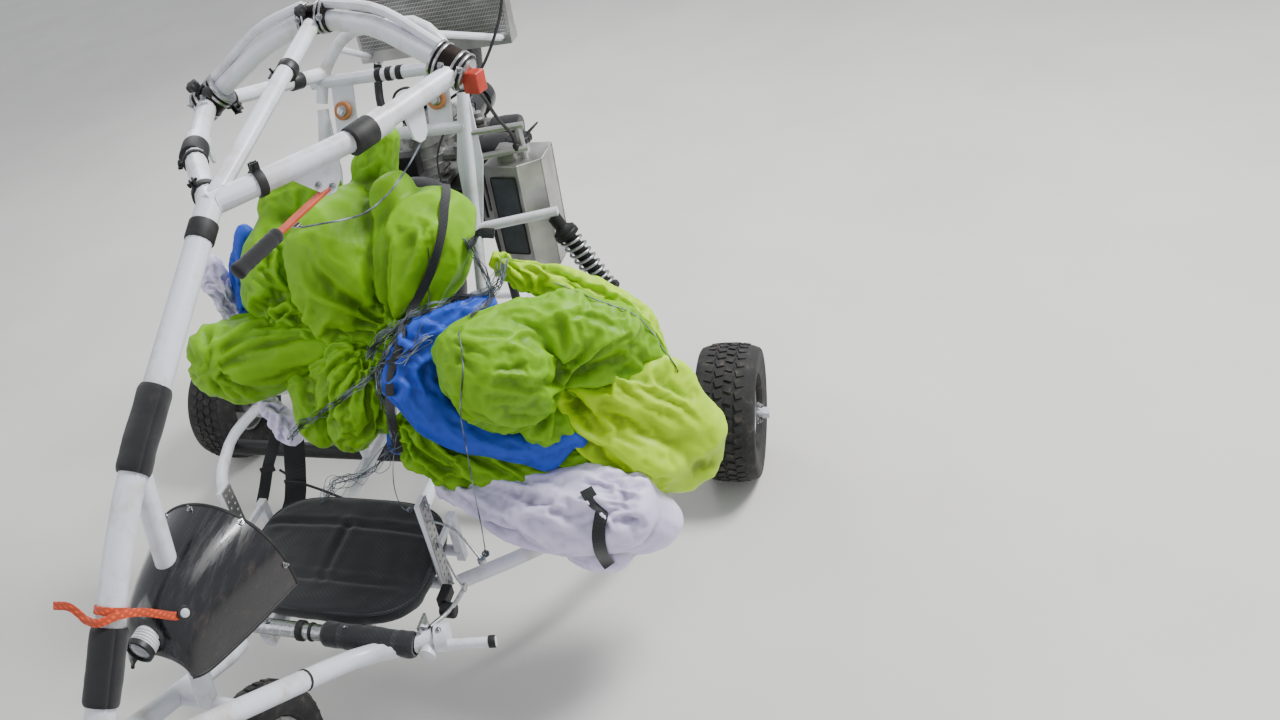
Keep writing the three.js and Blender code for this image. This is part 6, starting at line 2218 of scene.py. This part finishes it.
def build_harness():
    """Builds the black harness webbing, its buckles and the control cables under the rear seat."""
    straps = []
    lines = [
        ([(-352, 10, 470), (-372, -10, 420), (-398, -40, 360), (-404, -78, 318), (-410, -118, 280)], 34),
        ([(-282, -20, 470), (-286, -50, 400), (-284, -84, 350), (-286, -120, 306), (-290, -160, 282)], 62),
        ([(-236, 210, 250), (-240, 170, 300), (-236, 90, 400), (-226, 40, 470)], 44),
    ]
    for points, wide in lines:
        path = smooth_path(vectors(points), 8)
        ups = [Vector((0.5 + 0.25 * math.sin(k * 0.35), -0.8, 0.4)) for k in range(len(path))]
        straps.append(ribbon(path, wide * MM, 2.6 * MM, ups))
    settle(from_shells("harness_webbing", straps, woven_polyester(BLACK_CLOTH), 60))
    buckles = [brick((44, 6, 26), point(-398, -44, 356),
                     (Vector((0.85, 0.53, 0)), Vector((-0.53, 0.85, 0)), Z_AXIS)),
               brick((70, 6, 22), point(-285, -88, 348))]
    settle(rounded_edges(from_shells("harness_buckles", buckles, moulded_nylon(BLACK_NYLON)), 2.4 * MM, 2))
    cables = [hose([(-375, -20, 335), (-297, -50, 319), (-183, -100, 336), (-90, -140, 341),
                    (-20, -190, 340)], 8),
              hose([(-302, -50, 303), (-267, -100, 297), (-189, -160, 303), (-125, -215, 318)], 10)]
    settle(from_shells("control_cables", cables, extruded_rubber()))


# Rigging of the bundled wing: name, points in mm, lines, spread and seed
SKEINS = (
    ("skein_neck", [(449, 20, 993), (428, -20, 946), (369, -60, 944), (293, -100, 942), (224, -130, 919),
                    (170, -150, 897),
                    (132, -160, 853)], 18, 34, 1.0),
    ("skein_knot", [(258, -130, 943), (211, -180, 887), (175, -200, 840), (160, -200, 754),
                    (165, -200, 677), (146, -200, 584)],
     16, 28, 2.0),
    ("skein_fan", [(327, -200, 940), (240, -200, 881), (116, -180, 803), (-5, -170, 716),
                   (-128, -150, 626), (-215, -130, 556)],
     8, 26, 3.0),
    ("skein_low", [(153, -200, 619), (102, -220, 564), (39, -240, 529), (-42, -240, 500),
                   (-100, -215, 430), (-120, -200, 372)],
     9, 40, 4.0),
    ("skein_over", [(343, 60, 1033), (396, 0, 1008), (421, -30, 972), (433, -80, 945), (406, -140, 937)],
     8, 18, 5.0),
)
# Single lines: name, points in mm, diameter in mm
LINES = (
    ("line_tail", [(416, -232, 965), (437, -292, 955), (432, -306, 900), (410, -322, 812),
                   (398, -318, 700), (394, -330, 596),
                   (398, -350, 500), (390, -352, 410)], 3.2),
    ("line_low", [(206, -268, 707), (176, -278, 620), (160, -285, 540), (154, -270, 460),
                  (150, -232, 418)], 2.6),
    ("line_ridge", [(260, 40, 1030), (272, -20, 985), (282, -90, 935), (262, -150, 892), (238, -196, 852)],
     2.6),
    ("line_edge", [(560, 20, 930), (642, 30, 872), (742, 0, 843), (801, 0, 731), (815, 0, 690)], 2.6),
)
# Webbing on the wing: name, points in mm, width in mm
WING_STRAPS = (
    ("riser_strap", [(314, 100, 1152), (308, 60, 1098), (272, 20, 1007), (231, -60, 918), (210, -160, 852),
                     (185, -200, 776),
                     (157, -200, 677), (158, -200, 590)], 22),
    ("riser_strap_short", [(344, 50, 1025), (391, 50, 1053), (430, 50, 1050)], 24),
    ("sleeve_strap", [(637, -260, 536), (669, -280, 502), (651, -290, 416), (660, -270, 330)], 30),
)
# In metres: how far off the wing the rays start, and how far behind a line the cloth may lie
DRAPE_START = 0.3
DRAPE_REACH = 0.06


def sail_surface():
    """A search tree over every part of the bundled wing."""
    corners = []
    faces = []
    for name in SAIL:
        mesh = bpy.data.objects[name].data
        first = len(corners)
        corners.extend(v.co.copy() for v in mesh.vertices)
        faces.extend([first + k for k in polygon.vertices] for polygon in mesh.polygons)
    return BVHTree.FromPolygons(corners, faces)


def draped(points, surface, lift):
    """A smooth path laid on the wing where the camera sees cloth near it, and the ways off the cloth."""
    path = smooth_path(vectors(points), 10)
    eye = Vector(CAMERA["place"])
    ways = [(eye - p).normalized() for p in path]
    for _ in range(2):
        for k, p in enumerate(path):
            toward = (eye - p).normalized()
            place, normal, _, far = surface.ray_cast(p + toward * DRAPE_START, -toward)
            if place is not None and far < DRAPE_START + DRAPE_REACH:
                ways[k] = normal if normal.dot(toward) > 0 else -normal
                path[k] = place + ways[k] * lift
        path = eased(path, 4)
        ways = [w.normalized() for w in eased(ways, 4)]
    for k, p in enumerate(path):
        place, normal, _, _ = surface.find_nearest(p)
        if (p - place).dot(normal) < 0:
            path[k] = place + normal * lift * 0.6
    return eased(path, 1), ways


def eased(rows, rounds):
    """A run of vectors with its inner ones averaged with their neighbours."""
    for _ in range(rounds):
        inner = [a * 0.25 + b * 0.5 + c * 0.25 for a, b, c in zip(rows, rows[1:], rows[2:])]
        rows = [rows[0], *inner, rows[-1]]
    return rows


def build_rigging():
    """Builds the wing's suspension lines: skeins about a thicker line, single lines, knots and risers."""
    surface = sail_surface()
    for name, points, lines, spread, seed in SKEINS:
        path, _ = draped(points, surface, 5 * MM)
        edges = [(k, k + 1) for k in range(len(path) - 1)]
        values = {"Lines": lines, "Spread": spread * MM, "Thickness": sizes().line, "Seed": seed}
        skein = grown(name, skein_tree, braided_line(), values, path, edges, sharp_degrees=60)
        settle(skein)
        free_line(name + "_core", path, 3.0)
    for name, points, diameter in LINES:
        free_line(name, draped(points, surface, 2 * MM)[0], diameter)
    knots = []
    for x, y, z, r in ((390, -352, 410, 8), (150, -232, 418, 7), (-120, -200, 372, 9)):
        for k in range(3):
            turn = Matrix.Rotation(1.1 * k + 0.4, 3, "X") @ Matrix.Rotation(0.9 * k, 3, "Y")
            loop = [(Vector((x, y, z)) + turn @ Vector((r * math.cos(a), r * 0.8 * math.sin(a),
                                                        r * 0.35 * math.sin(2 * a)))) * MM
                    for a in [2 * math.pi * j / 24 for j in range(25)]]
            knots.append(tube(loop, r * 0.24 * MM, 8))
    settle(from_shells("line_knots", knots, braided_line(), 60))
    straps = []
    for _, points, wide in WING_STRAPS:
        path, ways = draped(points, surface, 9 * MM)
        path = eased(path, 6)
        straps.append(ribbon(path, wide * MM, 2.4 * MM, ways))
    settle(from_shells("wing_webbing", straps, woven_polyester(BLACK_CLOTH), 60))


def free_line(name, path, diameter):
    """One suspension line along a path."""
    cord = from_shells(name, [tube(path, diameter / 2 * MM, 8)], braided_line(), 60)
    settle(cord)
    return cord


# Finishes of the CAD nodes that keep their own shape
def dress_frame():
    """Dresses the welded frame."""
    paint = powder_coated_steel()
    for node in (
        "mast_tube", "arm_left", "arm_right", "arm_middle", "hoop", "nose_rail_left", "nose_rail_right",
        "mast_strut",
        "keel_frame", "trailing_arm_left", "trailing_arm_right", "rear_post_left", "rear_post_right",
        "rear_arch",
        "rear_link_left", "rear_link_right", "engine_bars", "rear_seat_frame",
    ):
        dressed(node, paint)
    dressed("axle_beam", black_painted_casting())
    dressed("crossbar", zinc_plated_steel())
    for node in ("top_clamp", "elbow_clamp_left", "elbow_clamp_right"):
        dressed(node, bronze_anodised_aluminium(), 2 * MM)


def dress_fork():
    """Dresses the front fork."""
    dressed("fork", sand_cast_aluminium())


# Stage: the camera's angles in degrees, its lens in millimetres and its shift as a share of the frame
CAMERA = {"place": (1.235, -1.95, 2.132), "azimuth": 30.8, "elevation": 31.8, "roll": 17.5, "lens": 28.83,
          "shift": 0.2}


SENSOR_WIDTH = 36
FLOOR_HALF = 14.0
# Lights: name, place, where they point, width in metres and power in watts
LIGHTS = (
    ("key", (2.8, 1.6, 4.4), (0.2, 0, 0.7), 1.3, 330),
    ("fill", (-3.5, -3.0, 3.0), (0, 0, 0.7), 3.0, 55),
    ("rim", (-2.0, 4.0, 3.4), (0, 0.3, 0.8), 2.0, 80),
)


def build_stage():
    """Pale floor, soft lights and the camera at the photograph's angle."""
    mesh = bpy.data.meshes.new("floor")
    corners = [(x * FLOOR_HALF, y * FLOOR_HALF, 0) for x, y in ((-1, -1), (1, -1), (1, 1), (-1, 1))]
    mesh.from_pydata(corners, [], [(0, 1, 2, 3)])
    floor = shown("floor", mesh, matt_studio_floor(), None)
    world = bpy.data.worlds.new("studio")
    world.use_nodes = True
    background = world.node_tree.nodes["Background"]
    background.inputs["Color"].default_value = solid_colour("eef1f6")
    background.inputs["Strength"].default_value = 0.8
    bpy.context.scene.world = world
    for name, place, target, width, power in LIGHTS:
        light = bpy.data.lights.new(name, "AREA")
        light.energy = power
        light.size = width
        lamp = bpy.data.objects.new(name, light)
        lamp.location = place
        lamp.rotation_euler = (Vector(target) - Vector(place)).to_track_quat("-Z", "Y").to_euler()
        bpy.context.scene.collection.objects.link(lamp)
    a = math.radians(CAMERA["azimuth"])
    e = math.radians(CAMERA["elevation"])
    roll = math.radians(CAMERA["roll"])
    right = Vector((math.cos(a), math.sin(a), 0))
    ahead = Vector((-math.sin(a) * math.cos(e), math.cos(a) * math.cos(e), -math.sin(e)))
    above = right.cross(ahead)
    across = right * math.cos(roll) - above * math.sin(roll)
    upward = right * math.sin(roll) + above * math.cos(roll)
    lens = bpy.data.cameras.new("camera")
    lens.lens = CAMERA["lens"]
    lens.sensor_width = SENSOR_WIDTH
    lens.sensor_fit = "HORIZONTAL"
    lens.shift_x = CAMERA["shift"]
    camera = bpy.data.objects.new("camera", lens)
    bpy.context.scene.collection.objects.link(camera)
    turn = Matrix((across, upward, -ahead)).transposed().to_4x4()
    camera.matrix_world = Matrix.Translation(CAMERA["place"]) @ turn
    bpy.context.scene.camera = camera


# Operators, panel and registration
class TRIKE_OT_stage(bpy.types.Operator):
    """Pale floor, soft lights and the camera at the photograph's angle."""

    bl_idname = "trike.stage"
    bl_label = "Stage"

    def execute(self, context):
        build_stage()
        return {"FINISHED"}


class TRIKE_OT_frame(bpy.types.Operator):
    """Dresses the welded frame."""

    bl_idname = "trike.frame"
    bl_label = "Frame"

    def execute(self, context):
        dress_frame()
        return {"FINISHED"}


class TRIKE_OT_welds(bpy.types.Operator):
    """Lays the weld beads where tubes meet."""

    bl_idname = "trike.welds"
    bl_label = "Weld beads"

    def execute(self, context):
        build_welds()
        return {"FINISHED"}


class TRIKE_OT_clamps(bpy.types.Operator):
    """Builds the clamp rings, knobs, bolts and sleeves on the upper frame."""

    bl_idname = "trike.clamps"
    bl_label = "Clamps and bands"

    def execute(self, context):
        build_clamps()
        return {"FINISHED"}


class TRIKE_OT_bushings(bpy.types.Operator):
    """Builds the two engine mount bushings in their plates."""

    bl_idname = "trike.bushings"
    bl_label = "Mount bushings"

    def execute(self, context):
        build_bushings()
        return {"FINISHED"}


class TRIKE_OT_foam(bpy.types.Operator):
    """Builds the two split foam sleeves on the mast: lumpy, with a slit along each."""

    bl_idname = "trike.foam"
    bl_label = "Foam sleeves"

    def execute(self, context):
        build_foam_sleeves()
        return {"FINISHED"}


class TRIKE_OT_cowl(bpy.types.Operator):
    """Builds the moulded nose cowl: one thin open shell with a rolled rim, its screws and its trim."""

    bl_idname = "trike.cowl"
    bl_label = "Nose cowl"

    def execute(self, context):
        build_cowl()
        return {"FINISHED"}


class TRIKE_OT_lamp(bpy.types.Operator):
    """Builds the headlamp: cast body with cooling ribs, bezel, reflector bowl and clear lens."""

    bl_idname = "trike.lamp"
    bl_label = "Headlamp"

    def execute(self, context):
        build_lamp()
        return {"FINISHED"}


class TRIKE_OT_mast_strap(bpy.types.Operator):
    """Builds the webbing strap round the mast with its button on the cowl."""

    bl_idname = "trike.mast_strap"
    bl_label = "Mast strap"

    def execute(self, context):
        build_mast_strap()
        return {"FINISHED"}


class TRIKE_OT_nose_fittings(bpy.types.Operator):
    """Builds the bands, tabs and bolts on the crossbar, rails and steering head."""

    bl_idname = "trike.nose_fittings"
    bl_label = "Nose fittings"

    def execute(self, context):
        build_nose_fittings()
        return {"FINISHED"}


class TRIKE_OT_fork(bpy.types.Operator):
    """Dresses the front fork."""

    bl_idname = "trike.fork"
    bl_label = "Fork"

    def execute(self, context):
        dress_fork()
        return {"FINISHED"}


class TRIKE_OT_tyres(bpy.types.Operator):
    """Builds the tyres: carcass with sidewall ribs, and rings of tread blocks."""

    bl_idname = "trike.tyres"
    bl_label = "Tyres"

    def execute(self, context):
        build_tyres()
        return {"FINISHED"}


class TRIKE_OT_rims(bpy.types.Operator):
    """Dresses the rims and adds their bolts and valves."""

    bl_idname = "trike.rims"
    bl_label = "Rims"

    def execute(self, context):
        build_rims()
        return {"FINISHED"}


class TRIKE_OT_engine(bpy.types.Operator):
    """Builds the engine's ribs, plugs and leads, carburettors, filters, coils, starter and exhaust bands."""

    bl_idname = "trike.engine"
    bl_label = "Engine"

    def execute(self, context):
        build_engine()
        return {"FINISHED"}


class TRIKE_OT_radiator(bpy.types.Operator):
    """Builds the radiator's fins, flat tubes, hoses and cap."""

    bl_idname = "trike.radiator"
    bl_label = "Radiator"

    def execute(self, context):
        build_radiator()
        return {"FINISHED"}


class TRIKE_OT_tank(bpy.types.Operator):
    """Builds the tank's dark window, weld seams and cap, and the fittings above it."""

    bl_idname = "trike.tank"
    bl_label = "Fuel tank"

    def execute(self, context):
        build_tank()
        return {"FINISHED"}


class TRIKE_OT_struts(bpy.types.Operator):
    """Builds the rear spring struts: damper body, rod, spring seats and the wound spring."""

    bl_idname = "trike.struts"
    bl_label = "Spring struts"

    def execute(self, context):
        build_struts()
        return {"FINISHED"}


class TRIKE_OT_propeller(bpy.types.Operator):
    """Builds the two-bladed propeller: smooth blades, hub plates and bolts."""

    bl_idname = "trike.propeller"
    bl_label = "Propeller"

    def execute(self, context):
        build_propeller()
        return {"FINISHED"}


class TRIKE_OT_front_seat(bpy.types.Operator):
    """Builds the front seat pad with its piping, and the padded roll on the crossbar."""

    bl_idname = "trike.front_seat"
    bl_label = "Front seat"

    def execute(self, context):
        build_front_seat()
        return {"FINISHED"}


class TRIKE_OT_rear_seat(bpy.types.Operator):
    """Builds the rear seat's pan and back in quilted cloth."""

    bl_idname = "trike.rear_seat"
    bl_label = "Rear seat"

    def execute(self, context):
        build_rear_seat()
        return {"FINISHED"}


class TRIKE_OT_lever(bpy.types.Operator):
    """Builds the control lever: flat arm, foam grip, pivot, buckle and the cord to the frame."""

    bl_idname = "trike.lever"
    bl_label = "Lever"

    def execute(self, context):
        build_lever()
        return {"FINISHED"}


class TRIKE_OT_seat_plates(bpy.types.Operator):
    """Builds the perforated plates on the seat uprights, with their bolts and link rods."""

    bl_idname = "trike.seat_plates"
    bl_label = "Seat plates"

    def execute(self, context):
        build_seat_plates()
        return {"FINISHED"}


class TRIKE_OT_harness(bpy.types.Operator):
    """Builds the black harness webbing, its buckles and the control cables under the rear seat."""

    bl_idname = "trike.harness"
    bl_label = "Harness"

    def execute(self, context):
        build_harness()
        return {"FINISHED"}


class TRIKE_OT_sail(bpy.types.Operator):
    """Builds every part of the bundled wing."""

    bl_idname = "trike.sail"
    bl_label = "Bundled wing"

    def execute(self, context):
        build_sail()
        return {"FINISHED"}


class TRIKE_OT_rigging(bpy.types.Operator):
    """Builds the wing's suspension lines: skeins about a thicker line, single lines, knots and risers."""

    bl_idname = "trike.rigging"
    bl_label = "Rigging"

    def execute(self, context):
        build_rigging()
        return {"FINISHED"}


STEPS = [
    TRIKE_OT_stage, TRIKE_OT_frame, TRIKE_OT_welds, TRIKE_OT_clamps, TRIKE_OT_bushings, TRIKE_OT_foam,
    TRIKE_OT_cowl, TRIKE_OT_lamp, TRIKE_OT_mast_strap, TRIKE_OT_nose_fittings, TRIKE_OT_fork,
    TRIKE_OT_tyres, TRIKE_OT_rims, TRIKE_OT_engine, TRIKE_OT_radiator, TRIKE_OT_tank, TRIKE_OT_struts,
    TRIKE_OT_propeller, TRIKE_OT_front_seat, TRIKE_OT_rear_seat, TRIKE_OT_lever, TRIKE_OT_seat_plates,
    TRIKE_OT_harness, TRIKE_OT_sail, TRIKE_OT_rigging,
]


class TRIKE_PT_panel(bpy.types.Panel):
    """Lists the steps and settings of the trike's looks."""

    bl_idname = "TRIKE_PT_panel"
    bl_label = "Trike looks"
    bl_space_type = "VIEW_3D"
    bl_region_type = "UI"
    bl_category = "Trike"

    def draw(self, context):
        for step in STEPS:
            self.layout.operator(step.bl_idname)
        for group in (context.scene.trike_colours, context.scene.trike_sizes):
            for key in group.__annotations__:
                self.layout.prop(group, key)


CLASSES = [TrikeColours, TrikeSizes, *STEPS, TRIKE_PT_panel]


def register():
    """Registers the classes and the scene's settings."""
    for one in CLASSES:
        bpy.utils.register_class(one)
    bpy.types.Scene.trike_colours = bpy.props.PointerProperty(type=TrikeColours)
    bpy.types.Scene.trike_sizes = bpy.props.PointerProperty(type=TrikeSizes)


def unregister():
    """Removes what register added."""
    del bpy.types.Scene.trike_sizes
    del bpy.types.Scene.trike_colours
    for one in reversed(CLASSES):
        bpy.utils.unregister_class(one)


def main():
    """Builds the whole scene in order."""
    register()
    for step in STEPS:
        group, name = step.bl_idname.split(".")
        getattr(getattr(bpy.ops, group), name)()


if __name__ == "__main__":
    main()
